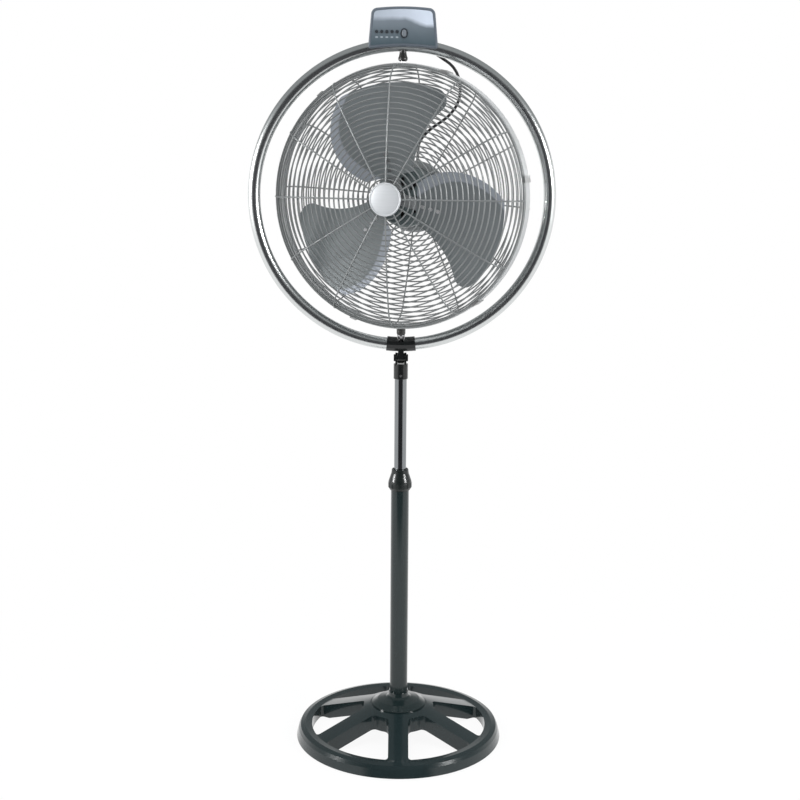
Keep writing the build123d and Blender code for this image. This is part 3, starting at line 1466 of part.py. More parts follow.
with BuildPart() as fan_blades:
    for index in range(blade_count):
        add(one_blade.part.rotate(HEAD_AXIS, index * 360 / blade_count))
fan_blades.part.label = "fan_blades"
export_step(fan_blades.part, "parts/fan_blades.step")

# Hub: a turned boss with an arm behind each blade, pitched and bent like the blade
with BuildPart() as one_arm:
    arm_sections = []
    for reach in arm_stations:
        arm_sections.append(sheet_section(blade_center, reach, arm_half, -arm_sheet - 0.2, arm_sheet))
    loft(arm_sections)
    for reach in rivet_spots:
        with BuildSketch(rivet_plane(blade_center, reach)):
            Circle(rivet_radius)
        extrude(amount=10, both=True, mode=Mode.SUBTRACT)

with BuildPart() as fan_hub:
    for index in range(blade_count):
        add(one_arm.part.rotate(HEAD_AXIS, index * 360 / blade_count))
    with BuildSketch(HEAD.offset(hub_back)):
        Circle(hub_boss)
    extrude(amount=hub_front - hub_back)
    with BuildSketch(HEAD.offset(hub_back)):
        Circle(shaft_radius)
    extrude(amount=hub_front - hub_back, mode=Mode.SUBTRACT)
fan_hub.part.label = "fan_hub"
export_step(fan_hub.part, "parts/fan_hub.step")

# Blade rivets: three in each blade, domed in front and flat behind
with BuildPart() as blade_rivets:
    for index in range(blade_count):
        angle = blade_center + index * 360 / blade_count
        for reach in rivet_spots:
            spot = rivet_plane(angle, reach)
            with BuildSketch(spot.offset(-arm_sheet - 0.2)):
                Circle(rivet_radius)
            extrude(amount=blade_sheet + arm_sheet + 0.3)
            with BuildSketch(spot.offset(blade_sheet)):
                Circle(2 * rivet_radius)
            extrude(amount=1.2)
            with BuildSketch(spot.offset(-arm_sheet - 0.2)):
                Circle(1.8 * rivet_radius)
            extrude(amount=-1)
blade_rivets.part.label = "blade_rivets"
export_step(blade_rivets.part, "parts/blade_rivets.step")

# Hub nut: a hexagon nut with a washer face
with BuildPart() as hub_nut:
    with BuildSketch(HEAD.offset(hub_front)):
        Circle(9.5)
        Circle(shaft_radius, mode=Mode.SUBTRACT)
    extrude(amount=1.5)
    with BuildSketch(HEAD.offset(hub_front + 1.5)):
        RegularPolygon(8.4, 6)
        Circle(shaft_radius, mode=Mode.SUBTRACT)
    extrude(amount=7)
hub_nut.part.label = "hub_nut"
export_step(hub_nut.part, "parts/hub_nut.step")

# Motor lead: hangs from the back of the box, behind the ring, to the gland on the rear cap
lead_top = Vector(lead_x, box_depth + gland_proud, lead_height)
lead_end = gland_spot + Vector(0, 0, gland_rise)
lead_route = (
    lead_top,
    lead_top + Vector(0, 26, 0),
    Vector(62.5, 88.5, 1456),
    Vector(118.5, 90, 1420),
    Vector(119, 86, 1341),
    Vector(34.4, 86, 1287),
    Vector(32, 88.5, 1240),
    lead_end,
)


def bend_radii(route):
    """The largest arc at each corner that leaves a short straight between two arcs."""
    radii = []
    for before, corner, after in zip(route, route[1:], route[2:]):
        turn = (corner - before).get_angle(after - corner)
        shorter = min((corner - before).length, (after - corner).length)
        radii.append(0.45 * shorter / tan(radians(turn / 2)))
    return radii


lead_bends = bend_radii(lead_route)
lead_sides = 8
lead_section = lead_sides / 2 * lead_radius**2 * sin(2 * pi / lead_sides)
with BuildPart() as motor_lead:
    with BuildLine() as lead_line:
        FilletPolyline(*lead_route, radius=lead_bends)
    with BuildSketch(Plane(origin=lead_top, z_dir=lead_route[1] - lead_top)):
        RegularPolygon(lead_radius, lead_sides)
    sweep(path=lead_line.line)
motor_lead.part.label = "motor_lead"
export_step(motor_lead.part, "parts/motor_lead.step")

lead_length = lead_line.wires()[0].length
print("lead arc radii", [round(radius, 1) for radius in lead_bends])
print("lead length", round(lead_length, 1))
lead_ratio = motor_lead.part.volume / (lead_section * lead_length)
print("lead volume over section times length", round(lead_ratio, 4))
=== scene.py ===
from math import asin, cos, pi, radians, sin, sqrt

import bmesh
import bpy
from mathutils import Matrix, Vector


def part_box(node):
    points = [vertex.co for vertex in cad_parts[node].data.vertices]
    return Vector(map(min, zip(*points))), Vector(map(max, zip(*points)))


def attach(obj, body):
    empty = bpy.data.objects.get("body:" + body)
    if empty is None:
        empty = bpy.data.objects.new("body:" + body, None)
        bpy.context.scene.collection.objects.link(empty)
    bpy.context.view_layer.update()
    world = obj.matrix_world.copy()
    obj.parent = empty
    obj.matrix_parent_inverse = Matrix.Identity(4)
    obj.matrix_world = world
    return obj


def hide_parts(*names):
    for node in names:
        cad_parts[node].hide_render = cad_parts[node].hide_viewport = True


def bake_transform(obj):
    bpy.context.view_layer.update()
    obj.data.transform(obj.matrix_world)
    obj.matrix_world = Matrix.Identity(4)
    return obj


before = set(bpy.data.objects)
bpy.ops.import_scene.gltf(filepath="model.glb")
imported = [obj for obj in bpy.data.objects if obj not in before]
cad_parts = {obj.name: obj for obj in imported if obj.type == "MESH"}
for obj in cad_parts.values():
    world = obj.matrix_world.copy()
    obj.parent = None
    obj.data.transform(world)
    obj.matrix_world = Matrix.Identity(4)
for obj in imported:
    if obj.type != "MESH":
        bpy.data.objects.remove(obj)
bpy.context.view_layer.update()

# The studio: a plain pale floor and backdrop, and a camera at chest height that looks slightly down.
# Three broad lamps light the fan from the left, the right and above. Two small ones at the sides
# only show as glints on what is glossy.
camera_place = Vector((-0.0012, -2.685, 1.263))
camera_tilt = radians(10.93)
camera_lean = radians(0.40)
focal_pixels = 1306.5
picture_pixels = 800
camera_data = bpy.data.cameras.new("camera")
camera_data.sensor_width = 36.0
camera_data.lens = focal_pixels / picture_pixels * camera_data.sensor_width
camera = bpy.data.objects.new("camera", camera_data)
camera.location = camera_place
camera_turn = Matrix.Rotation(pi / 2 - camera_tilt, 3, "X") @ Matrix.Rotation(camera_lean, 3, "Z")
camera.rotation_euler = camera_turn.to_euler()
bpy.context.scene.collection.objects.link(camera)
bpy.context.scene.camera = camera
bpy.context.scene.view_settings.view_transform = "Standard"


class Value:
    """A value on its way through a material: an operator on it adds the node that does the sum."""

    def __init__(self, tree, socket):
        self.tree = tree
        self.socket = socket

    def math(self, operation, *others, clamp=False):
        step = self.tree.nodes.new("ShaderNodeMath")
        step.operation = operation
        step.use_clamp = clamp
        for place, value in enumerate((self, *others)):
            join(self.tree, value, step.inputs[place])
        return Value(self.tree, step.outputs[0])

    def __add__(self, other):
        return self.math("ADD", other)

    def __sub__(self, other):
        return self.math("SUBTRACT", other)

    def __mul__(self, other):
        return self.math("MULTIPLY", other)

    def __truediv__(self, other):
        return self.math("DIVIDE", other)

    __radd__ = __add__
    __rmul__ = __mul__

    def __rsub__(self, other):
        return (self * -1.0) + other

    def band(self, low, high):
        """Nought below low, one above high, and a straight rise between."""
        rise = (self - low) / (high - low)
        return rise.math("ADD", 0.0, clamp=True)


def join(tree, value, socket):
    """Sets a socket to a plain value, or links a Value to it."""
    if isinstance(value, Value):
        tree.links.new(value.socket, socket)
    else:
        socket.default_value = value


class Finish:
    """A material that is built up node by node round one shader, or the nodes of a given tree."""

    def __init__(self, name, tree=None, **plain):
        if tree:
            self.tree = tree
            self.tree.nodes.clear()
            return
        self.material = bpy.data.materials.new(name)
        self.material.use_nodes = True
        self.tree = self.material.node_tree
        self.tree.nodes.clear()
        self.shader = self.tree.nodes.new("ShaderNodeBsdfPrincipled")
        output = self.tree.nodes.new("ShaderNodeOutputMaterial")
        self.tree.links.new(self.shader.outputs[0], output.inputs[0])
        self.set(**plain)

    def set(self, **sockets):
        """Sets or links the shader's sockets, named in lower case with underscores."""
        for name, value in sockets.items():
            join(self.tree, value, self.shader.inputs[name.replace("_", " ").title().replace("Ior", "IOR")])

    def node(self, kind, settings=None, output=0, **sockets):
        """Adds any other node: its settings come first, then the values or links of its sockets."""
        step = self.tree.nodes.new("ShaderNode" + kind)
        for name, value in (settings or {}).items():
            if name == "stops":
                ramp = step.color_ramp.elements
                while len(ramp) < len(value):
                    ramp.new(0.5)
                for element, (place, color) in zip(ramp, value):
                    element.position = place
                    element.color = color
            else:
                setattr(step, name, value)
        for name, value in sockets.items():
            place = int(name[1:]) if name[0] == "_" else name.replace("_", " ").title()
            join(self.tree, value, step.inputs[place])
        return Value(self.tree, step.outputs[output])

    def place(self, turn=(0.0, 0.0, 0.0), stretch=(1.0, 1.0, 1.0)):
        """Object coordinates, turned and stretched."""
        raw = self.node("TexCoord", output=3)
        return self.node("Mapping", Vector=raw, Rotation=turn, Scale=stretch)

    def noise(self, scale, detail=2.0, where=None):
        """Noise from nought to one."""
        where = where or self.place()
        return self.node("TexNoise", Vector=where, Scale=scale, Detail=detail)

    def mix(self, share, first, second):
        """From the first colour to the second."""
        settings = {"data_type": "RGBA"}
        return self.node("Mix", settings, output=2, _0=share, _6=first, _7=second)

    def bump(self, height, distance, strength):
        """Feeds a height into the shader's normal."""
        self.set(normal=self.node("Bump", Height=height, Distance=distance, Strength=strength))

    def dress(self, *names):
        """Puts the material on CAD nodes."""
        for name in names:
            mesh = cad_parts[name].data
            mesh.materials.clear()
            mesh.materials.append(self.material)


def rgb(red, green, blue):
    return (red, green, blue, 1.0)


def new_piece(name, mesh, finish, body):
    """Makes a finished mesh an object that rides on a body."""
    piece = bpy.data.objects.new(name, mesh)
    bpy.context.scene.collection.objects.link(piece)
    piece.data.materials.append(finish.material)
    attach(piece, body)
    return piece


floor_reach = 40.0
floor_mesh = bmesh.new()
bmesh.ops.create_grid(floor_mesh, x_segments=1, y_segments=1, size=floor_reach)
floor_data = bpy.data.meshes.new("floor")
floor_mesh.to_mesh(floor_data)
floor_mesh.free()
floor = bpy.data.objects.new("floor", floor_data)
bpy.context.scene.collection.objects.link(floor)
pale = Finish("pale_floor", base_color=rgb(0.93, 0.93, 0.93), roughness=0.9)
floor_data.materials.append(pale.material)
through = pale.node("LightPath", output="Is Transmission Ray")
direct = pale.node("LightPath", output="Is Camera Ray").math("MAXIMUM", through)
mirrored = pale.node("LightPath", output="Is Glossy Ray")
place = pale.node("NewGeometry", output="Position")
from_base = pale.node("VectorMath", {"operation": "LENGTH"}, output="Value", _0=place)
near_white = from_base.band(0.30, 1.3) * 0.08 + 0.92
aside = pale.node("SeparateXYZ", output=0, Vector=place).math("ABSOLUTE")
forward = pale.node("SeparateXYZ", output=1, Vector=place) * -1.0
open_side = (aside / forward.math("MAXIMUM", 0.1)).band(0.75, 1.05)
shaded = mirrored * forward.band(1.2, 1.7) * (1.0 - open_side)
shown = pale.mix(shaded, rgb(1.0, 1.0, 1.0), rgb(0.05, 0.05, 0.055))
floor_glow = pale.node("Emission", Color=shown, Strength=1.0)
both = (direct * near_white).math("MAXIMUM", mirrored)
covered = pale.node("MixShader", _0=both, _1=Value(pale.tree, pale.shader.outputs[0]), _2=floor_glow)
pale.tree.links.new(covered.socket, pale.tree.nodes["Material Output"].inputs[0])

world = bpy.data.worlds.new("backdrop")
bpy.context.scene.world = world
world.use_nodes = True
sky = Finish("backdrop", tree=world.node_tree)
soft_light = sky.node("Background", Color=rgb(0.90, 0.92, 0.95), Strength=0.80)
white_paper = sky.node("Background", Color=rgb(1.0, 1.0, 1.0), Strength=1.0)
dim_room = sky.node("Background", Color=rgb(0.30, 0.31, 0.33), Strength=0.16)
ceiling = sky.node("Background", Color=rgb(0.93, 0.97, 0.98), Strength=0.33)
through = sky.node("LightPath", output="Is Transmission Ray")
seen = sky.node("LightPath", output="Is Camera Ray").math("MAXIMUM", through)
mirrored = sky.node("LightPath", output="Is Glossy Ray")
toward = sky.node("TexCoord", output=0)
sideways = sky.node("SeparateXYZ", output=0, Vector=toward).math("ABSOLUTE")
to_front = sky.node("SeparateXYZ", output=1, Vector=toward) * -1.0
upward = sky.node("SeparateXYZ", output=2, Vector=toward)
within_sides = 1.0 - sideways.band(0.50, 0.66)
behind_camera = to_front.band(0.0, 0.2) * within_sides * (1.0 - upward.band(0.40, 0.62))
paper = sky.node("MixShader", _0=seen.math("MAXIMUM", mirrored), _1=soft_light, _2=white_paper)
roofed = sky.node("MixShader", _0=mirrored * upward.band(0.06, 0.36), _1=paper, _2=ceiling)
around = sky.node("MixShader", _0=mirrored * behind_camera, _1=roofed, _2=dim_room)
sky.tree.links.new(around.socket, sky.tree.nodes.new("ShaderNodeOutputWorld").inputs[0])

lamp_aim = Vector((0.0, 0.0, 0.9))
for name, place, size, power, glint in (
    ("lamp_left", (-2.4, -2.2, 2.5), 1.5, 36.0, False),
    ("lamp_right", (2.5, -1.7, 2.1), 1.2, 32.0, False),
    ("lamp_top", (0.2, -0.3, 3.5), 2.0, 34.0, False),
    ("glint_left", (-2.6, -0.7, 1.5), 0.45, 70.0, True),
    ("glint_right", (2.3, -1.4, 1.6), 0.45, 55.0, True),
):
    lamp_data = bpy.data.lights.new(name, "AREA")
    lamp_data.size = size
    lamp_data.energy = power
    lamp = bpy.data.objects.new(name, lamp_data)
    lamp.location = place
    lamp.rotation_euler = (lamp_aim - Vector(place)).to_track_quat("-Z", "Y").to_euler()
    lamp.visible_glossy = glint
    lamp.visible_diffuse = not glint
    bpy.context.scene.collection.objects.link(lamp)

# Motor lead: a black flexible lead that leaves the back of the control box behind the ring,
# loops out to the right and comes back to the gland on top of the rear cap.
lead_points = (
    (0.0460, 0.0410, 1.4660),
    (0.0460, 0.0670, 1.4660),
    (0.0625, 0.0885, 1.4560),
    (0.1185, 0.0900, 1.4200),
    (0.1190, 0.0860, 1.3410),
    (0.0344, 0.0860, 1.2870),
    (0.0320, 0.0885, 1.2400),
    (0.0306, 0.0889, 1.2070),
)
lead_radius = 0.003
lead_rubber = Finish("lead_rubber", roughness=0.55, specular_ior_level=0.4)
grain = lead_rubber.noise(900.0, detail=3.0)
lead_rubber.set(base_color=lead_rubber.mix(grain, rgb(0.010, 0.010, 0.011), rgb(0.022, 0.022, 0.024)))
lead_rubber.bump(grain, 0.00012, 0.5)


def thread(points, thickness, sides=2):
    """A smooth curve inside the points' hull, as round stock."""
    curve = bpy.data.curves.new("thread", "CURVE")
    curve.dimensions = "3D"
    curve.bevel_depth = thickness
    curve.bevel_resolution = sides
    curve.use_fill_caps = True
    spline = curve.splines.new("NURBS")
    spline.points.add(len(points) - 1)
    for point, spot in zip(spline.points, points):
        point.co = (*spot, 1.0)
    spline.order_u = 3
    spline.use_endpoint_u = True
    spline.resolution_u = 16
    return bpy.data.objects.new("thread", curve)


def as_mesh(name, item):
    """Makes a curve object a mesh of its own and throws the curve away."""
    bpy.context.scene.collection.objects.link(item)
    bpy.context.view_layer.update()
    mesh = bpy.data.meshes.new_from_object(item.evaluated_get(bpy.context.evaluated_depsgraph_get()))
    mesh.name = name
    bpy.data.objects.remove(item)
    return mesh


def smooth(mesh, sharp=40.0):
    """Shades a mesh smooth except over its sharp edges."""
    mesh.polygons.foreach_set("use_smooth", [True] * len(mesh.polygons))
    mesh.set_sharp_from_angle(angle=radians(sharp))
    return mesh


lead_line = as_mesh("lead_line", thread(lead_points, 0.0))
lead_mesh = smooth(as_mesh("hanging_lead", thread(lead_points, lead_radius, sides=4)))
motor_lead = bpy.data.objects.new("hanging_lead", lead_mesh)
bpy.context.scene.collection.objects.link(motor_lead)
motor_lead.data.materials.clear()
motor_lead.data.materials.append(lead_rubber.material)
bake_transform(motor_lead)
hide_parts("motor_lead")


def turned(outline, steps=48):
    """Spins an outline of (radius, height) points round the z axis and closes its seam."""
    shape = bmesh.new()
    corners = [shape.verts.new((radius, 0.0, height)) for radius, height in outline]
    for first, second in zip(corners, corners[1:]):
        shape.edges.new((first, second))
    bmesh.ops.spin(
        shape, geom=shape.verts[:] + shape.edges[:], cent=(0, 0, 0), axis=(0, 0, 1),
        angle=2 * pi, steps=steps, use_merge=True,
    )
    bmesh.ops.remove_doubles(shape, verts=shape.verts, dist=1e-6)
    bmesh.ops.recalc_face_normals(shape, faces=shape.faces)
    return shape


def to_mesh(name, shape, place, sharp=40.0):
    """Puts a bmesh in its place and makes it a smooth-shaded mesh."""
    bmesh.ops.transform(shape, matrix=place, verts=shape.verts)
    mesh = bpy.data.meshes.new(name)
    shape.to_mesh(mesh)
    shape.free()
    return smooth(mesh, sharp)


# Strain reliefs: ribbed rubber sleeves, one on the back of the box and one on the rear cap.
# Each grips the lead where it leaves its gland and tapers towards the lead's thickness.
sleeve_length = 0.022
sleeve_radius = 0.0058
sleeve_taper = 0.0022
rib_count = 5
rib_depth = 0.0011
sleeve_outline = [(0.0031, -0.001), (sleeve_radius, -0.001)]
for rib in range(rib_count):
    at = rib * sleeve_length / (rib_count + 0.5)
    wide = sleeve_radius - sleeve_taper * rib / rib_count
    sleeve_outline += [(wide, at + 0.0006), (wide, at + 0.0026)]
    sleeve_outline += [(wide - rib_depth, at + 0.0028), (wide - rib_depth, at + 0.0038)]
sleeve_outline += [(0.0036, sleeve_length - 0.0005), (0.0032, sleeve_length)]
for name, start, toward, body in (
    ("box_lead_sleeve", lead_points[0], lead_points[1], "ring"),
    ("cap_lead_sleeve", lead_points[-1], lead_points[-2], "head"),
):
    turn = (Vector(toward) - Vector(start)).to_track_quat("Z", "Y").to_matrix().to_4x4()
    sleeve = to_mesh(name, turned(sleeve_outline, 32), Matrix.Translation(start) @ turn)
    new_piece(name, sleeve, lead_rubber, body)

# Base: an iron casting, sprayed a dark green-black and baked to a deep gloss.
# The paint has the faint orange peel of sprayed enamel, and a little dust lies on its upper faces.
def enamel(name, low, high, roughness, peel, dusty=0.0):
    """Sprayed and baked enamel over metal, with a little dust on what faces up."""
    coat = Finish(name, coat_weight=0.6, coat_roughness=0.05, ior=1.45, specular_ior_level=0.3)
    cloud = coat.noise(9.0, detail=4.0)
    fine = coat.noise(420.0, detail=2.0)
    paint = coat.mix(cloud, low, high)
    if dusty:
        lift = coat.node("SeparateXYZ", output=2, Vector=coat.node("NewGeometry", output="Normal"))
        dust = lift.band(0.75, 1.0) * coat.noise(700.0, detail=4.0).band(0.62, 0.72)
        paint = coat.mix(dust * dusty, paint, rgb(0.12, 0.12, 0.12))
    coat.set(base_color=paint)
    coat.set(roughness=cloud * 0.10 + roughness + fine * 0.03)
    coat.bump(coat.noise(peel, detail=1.0), 0.0006, 0.12)
    return coat


cast_enamel = enamel(
    "cast_enamel", rgb(0.007, 0.015, 0.016), rgb(0.012, 0.023, 0.025),
    roughness=0.16, peel=160.0, dusty=0.15,
)
cast_enamel.dress("base_wheel", "pole_foot")

# Feet and glands: rubber pads pressed into the posts under the rim, and the rubber glands that hold
# the cords. All have a fine matt grain.
foot_rubber = Finish("foot_rubber", roughness=0.85)
foot_grain = foot_rubber.noise(1400.0, detail=3.0)
foot_rubber.set(base_color=foot_rubber.mix(foot_grain, rgb(0.012, 0.012, 0.012), rgb(0.03, 0.03, 0.03)))
foot_rubber.bump(foot_grain, 0.0002, 0.6)
foot_rubber.dress("rubber_feet", "mains_gland", "lead_gland", "head_gland")

# Outer tube and boot: a steel tube, and a spun cover that slides down over its foot.
# Both have the green-black gloss of the base, with a finer peel and no dust.
tube_enamel = enamel(
    "tube_enamel", rgb(0.008, 0.015, 0.015), rgb(0.012, 0.022, 0.023), roughness=0.13, peel=220.0,
)
tube_enamel.dress("lower_tube", "pole_boot")

# Height collar: a moulded nut over a split sleeve, in black plastic.
# The bushes of the two pivots are of a dark grey plastic, and the swing's gears of bare nylon.
def moulded(name, low, high, roughness):
    """Moulded plastic with a fine spark-eroded grain."""
    cast = Finish(name, ior=1.48)
    cloud = cast.noise(14.0, detail=3.0)
    grains = cast.noise(1800.0, detail=2.0)
    cast.set(base_color=cast.mix(cloud, low, high), roughness=cloud * 0.12 + grains * 0.06 + roughness)
    cast.bump(grains, 0.00008, 0.45)
    return cast


collar_plastic = moulded("collar_plastic", rgb(0.005, 0.008, 0.0075), rgb(0.010, 0.014, 0.013), 0.18)
collar_plastic.dress("height_nut", "height_collet", "tube_bush", "tilt_washers")
bush_plastic = moulded("bush_plastic", rgb(0.030, 0.029, 0.027), rgb(0.060, 0.058, 0.055), 0.20)
bush_plastic.dress("lower_pivot_bush", "upper_pivot_bush")
gear_nylon = moulded("gear_nylon", rgb(0.55, 0.53, 0.47), rgb(0.62, 0.60, 0.54), 0.35)
gear_nylon.dress("swing_sector", "swing_pinion")


# Chromed tubes: the inner pole, and the ring, which is one tube bent round with both ends in the tee.
# The plate is bright, with the faintest draw lines along its length.
# The pole's copy of it is painted far darker than the ring's, as painted shade.
def plated(name, low, high, roughness, depth, stretch=(1.0, 1.0, 1.0), metallic=1.0):
    """Bright metal with a fine grain, drawn out to lines where it is stretched."""
    plate = Finish(name, metallic=metallic)
    lines = plate.noise(600.0, detail=3.0, where=plate.place(stretch=stretch))
    cloud = plate.noise(12.0, detail=3.0)
    plate.set(base_color=plate.mix(cloud, low, high), roughness=lines * 0.08 + cloud * 0.05 + roughness)
    plate.bump(lines, depth, 0.3)
    return plate


# Painted shade: the pole's chrome is given a much darker colour than the ring's.
pole_chrome_painted_shade = plated(
    "pole_chrome_painted_shade", rgb(0.24, 0.255, 0.265), rgb(0.30, 0.315, 0.325),
    roughness=0.08, depth=0.00001, stretch=(1.0, 1.0, 0.02),
)
pole_chrome_painted_shade.dress("inner_tube")
ring_chrome = plated(
    "ring_chrome", rgb(0.64, 0.66, 0.66), rgb(0.74, 0.76, 0.76),
    roughness=0.17, depth=0.000002, stretch=(0.3, 1.0, 0.3),
)
ring_center = Vector((0.0, 0.0, 1.163))
ring_radius = 0.3004
tube_radius = 0.0126
half_gap = 0.008        # between the tube's two ends, inside the tee
end_angle = asin(half_gap / ring_radius)
ring_mesh = bmesh.new()
start_spot = Matrix.Translation((0.0, 0.0, -ring_radius))
bmesh.ops.create_circle(
    ring_mesh, cap_ends=False, segments=40, radius=tube_radius,
    matrix=start_spot @ Matrix.Rotation(pi / 2, 4, "Y"),
)
to_end = Matrix.Rotation(-end_angle, 3, "Y")
bmesh.ops.rotate(ring_mesh, cent=(0, 0, 0), matrix=to_end, verts=ring_mesh.verts)
bmesh.ops.spin(
    ring_mesh, geom=ring_mesh.verts[:] + ring_mesh.edges[:], cent=(0, 0, 0), axis=(0, -1, 0),
    angle=2 * pi - 2 * end_angle, steps=240,
)
bmesh.ops.holes_fill(ring_mesh, edges=[edge for edge in ring_mesh.edges if edge.is_boundary], sides=0)
bmesh.ops.recalc_face_normals(ring_mesh, faces=ring_mesh.faces)
ring_shape = to_mesh("chromed_ring", ring_mesh, Matrix.Translation(ring_center))
ring_tube = new_piece("chromed_ring", ring_shape, ring_chrome, "ring")
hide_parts("ring_tube")

# Neck: the tee with its tongue, and the socket, are castings in a satin black.
# The tilt bolt and its nut are blacked steel. The other screws, nuts and clips and the box's plate are
# zinc plated, and the pivots, the shaft, its bearings and the rivets are ground steel.
neck_black = enamel(
    "neck_black", rgb(0.004, 0.005, 0.005), rgb(0.008, 0.009, 0.009), roughness=0.28, peel=300.0,
)
neck_black.dress("ring_tee", "pole_socket")
zinc = plated("zinc_plate", rgb(0.46, 0.47, 0.48), rgb(0.58, 0.58, 0.57), roughness=0.28, depth=0.00006)
zinc.dress(
    "foot_bolts", "bush_nut", "box_plate", "box_screws",
    "guard_clips", "motor_bolts", "hub_nut", "socket_screws",
)
blacked = plated(
    "blacked_steel", rgb(0.035, 0.036, 0.038), rgb(0.070, 0.072, 0.075), roughness=0.30, depth=0.00005,
)
blacked.dress("tilt_bolt", "tilt_nut")
steel = plated(
    "ground_steel", rgb(0.40, 0.40, 0.41), rgb(0.52, 0.52, 0.53),
    roughness=0.22, depth=0.00004, stretch=(0.05, 1.0, 1.0),
)
steel.dress("lower_pivot_stud", "upper_pivot_shaft", "rotor_shaft", "motor_bearings", "blade_rivets")

# Control box: two moulded shells in a slate grey, closed over the top of the ring.
# The face is a separate plate. Its colour is lighter towards its top and darker towards its bottom, which is
# painted shade, and a sheen across its upper part is a painted highlight. A row of five plain dashes sits
# under the keys.
shell_slate = moulded("shell_slate", rgb(0.085, 0.105, 0.128), rgb(0.105, 0.125, 0.150), roughness=0.40)
shell_slate.dress("box_front", "box_back")
panel_slate = Finish("panel_slate", ior=1.48)
panel_low, panel_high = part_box("face_panel")
spot = panel_slate.place()
across = panel_slate.node("SeparateXYZ", output=0, Vector=spot)
height = panel_slate.node("SeparateXYZ", output=2, Vector=spot)
mottle = panel_slate.noise(34.0, detail=4.0)
face_grain = panel_slate.noise(1900.0, detail=2.0)
# Painted shade: the plate's colour runs from dark at its bottom to light at its top.
painted_shade = height.band(panel_low.z + 0.004, panel_high.z - 0.012) * 0.85 + mottle * 0.20
slate = panel_slate.mix(painted_shade, rgb(0.048, 0.075, 0.090), rgb(0.185, 0.215, 0.245))
# Painted highlight: a pale sheen band is mixed into the colour across the plate's upper part, deeper on the
# right.
painted_sheen_drop = across.band(0.004, 0.045) * 0.014 + 0.015 + mottle * 0.006
painted_sheen_share = across.band(-0.050, 0.045) * 0.50 + 0.35 + mottle * 0.20
painted_sheen = (height - panel_high.z + painted_sheen_drop).band(-0.004, 0.005) * painted_sheen_share
slate = panel_slate.mix(painted_sheen.math("MINIMUM", 1.0), slate, rgb(0.56, 0.62, 0.71))
first_key, last_key = (sum(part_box(name), Vector()) / 2 for name in ("speed_key_1", "speed_key_5"))
key_pitch = (last_key.x - first_key.x) / 4
mark_drop = 0.0105      # from the keys' middle to the dashes
middle_key = 2.0
beat = (across - first_key.x) / key_pitch
off_key = (beat - beat.math("ROUND")).math("ABSOLUTE") * abs(key_pitch)
below = (height - (first_key.z - mark_drop)).math("ABSOLUTE")
in_row = (1.0 - off_key.band(0.0020, 0.0027)) * (1.0 - below.band(0.0010, 0.0016))
in_row = in_row * (1.0 - (beat - middle_key).math("ABSOLUTE").band(2.3, 2.4))
slate = panel_slate.mix(in_row * 0.7, slate, rgb(0.42, 0.46, 0.50))
panel_slate.set(base_color=slate)
panel_slate.set(roughness=face_grain * 0.08 + 0.30)
panel_slate.bump(face_grain, 0.00006, 0.4)
panel_slate.dress("face_panel")
key_black = moulded("key_black", rgb(0.022, 0.027, 0.033), rgb(0.034, 0.040, 0.047), roughness=0.25)
key_black.dress(
    "button_bezel", "speed_key_1", "speed_key_2", "speed_key_3", "speed_key_4", "speed_key_5",
)
key_light = moulded("key_light", rgb(0.13, 0.15, 0.17), rgb(0.18, 0.20, 0.22), roughness=0.28)
key_light.dress("power_key")

# Circuit board and swing motor, both inside the box: green laminate with the copper's faint relief
# under the lacquer, and a geared motor in a plated can.
board_green = Finish("board_green", roughness=0.35, coat_weight=0.3)
tracks = board_green.node("TexVoronoi", {"distance": "CHEBYCHEV"}, Vector=board_green.place(), Scale=260.0)
lacquer = board_green.mix(tracks.band(0.25, 0.35), rgb(0.02, 0.11, 0.05), rgb(0.012, 0.06, 0.03))
board_green.set(base_color=lacquer)
board_green.bump(tracks, 0.0001, 0.4)
board_green.dress("circuit_board")
motor_can = plated("motor_can", rgb(0.42, 0.42, 0.40), rgb(0.50, 0.50, 0.48), roughness=0.35, depth=0.00005)
motor_can.dress("swing_motor")

# Guards: round steel wire, each ring butt-welded and then spot-welded under the radial wires.
# The front guard ends in a small disc under the badge, and the rear one in a flat ring for the motor.
yaw = radians(-19.0)
head_turn = Matrix((
    (cos(yaw), 0.0, sin(yaw), 0.0),
    (sin(yaw), 0.0, -cos(yaw), 0.0),
    (0.0, 1.0, 0.0, 0.0),
    (0.0, 0.0, 0.0, 1.0),
))
head_place = Matrix.Translation(ring_center) @ head_turn
wire_radius = 0.0016
rim_radius = 0.0022
guard_radius = 0.2614
rim_bend = 0.048
reach = guard_radius - rim_bend
ring_pitch = 0.0104
radial_count = 12
ring_steps = 120
wire_sharp = 60.0
guard_wire = plated(
    "guard_wire", rgb(0.18, 0.19, 0.19), rgb(0.23, 0.24, 0.24),
    roughness=0.34, depth=0.00005, metallic=0.2,
)
# The rear guard has the front guard's plating, but this copy of it is painted lighter, as painted light on
# the rear wires.
painted_lighter_rear_wire = plated(
    "painted_lighter_rear_wire", rgb(0.34, 0.345, 0.345), rgb(0.42, 0.425, 0.425),
    roughness=0.34, depth=0.00005, metallic=0.35,
)


def face_radius(depth):
    """Radius of the shallow sphere that a guard's face lies on."""
    return (reach**2 + depth**2 - rim_bend**2) / (2 * (depth - rim_bend))


def dome(radius, depth):
    """Depth of a guard at a distance from the axis, measured from its rim wire."""
    face = face_radius(depth)
    if radius < reach * face / (face - rim_bend):
        return depth - face + sqrt(face**2 - radius**2)
    return sqrt(max(rim_bend**2 - (radius - reach) ** 2, 0.0))


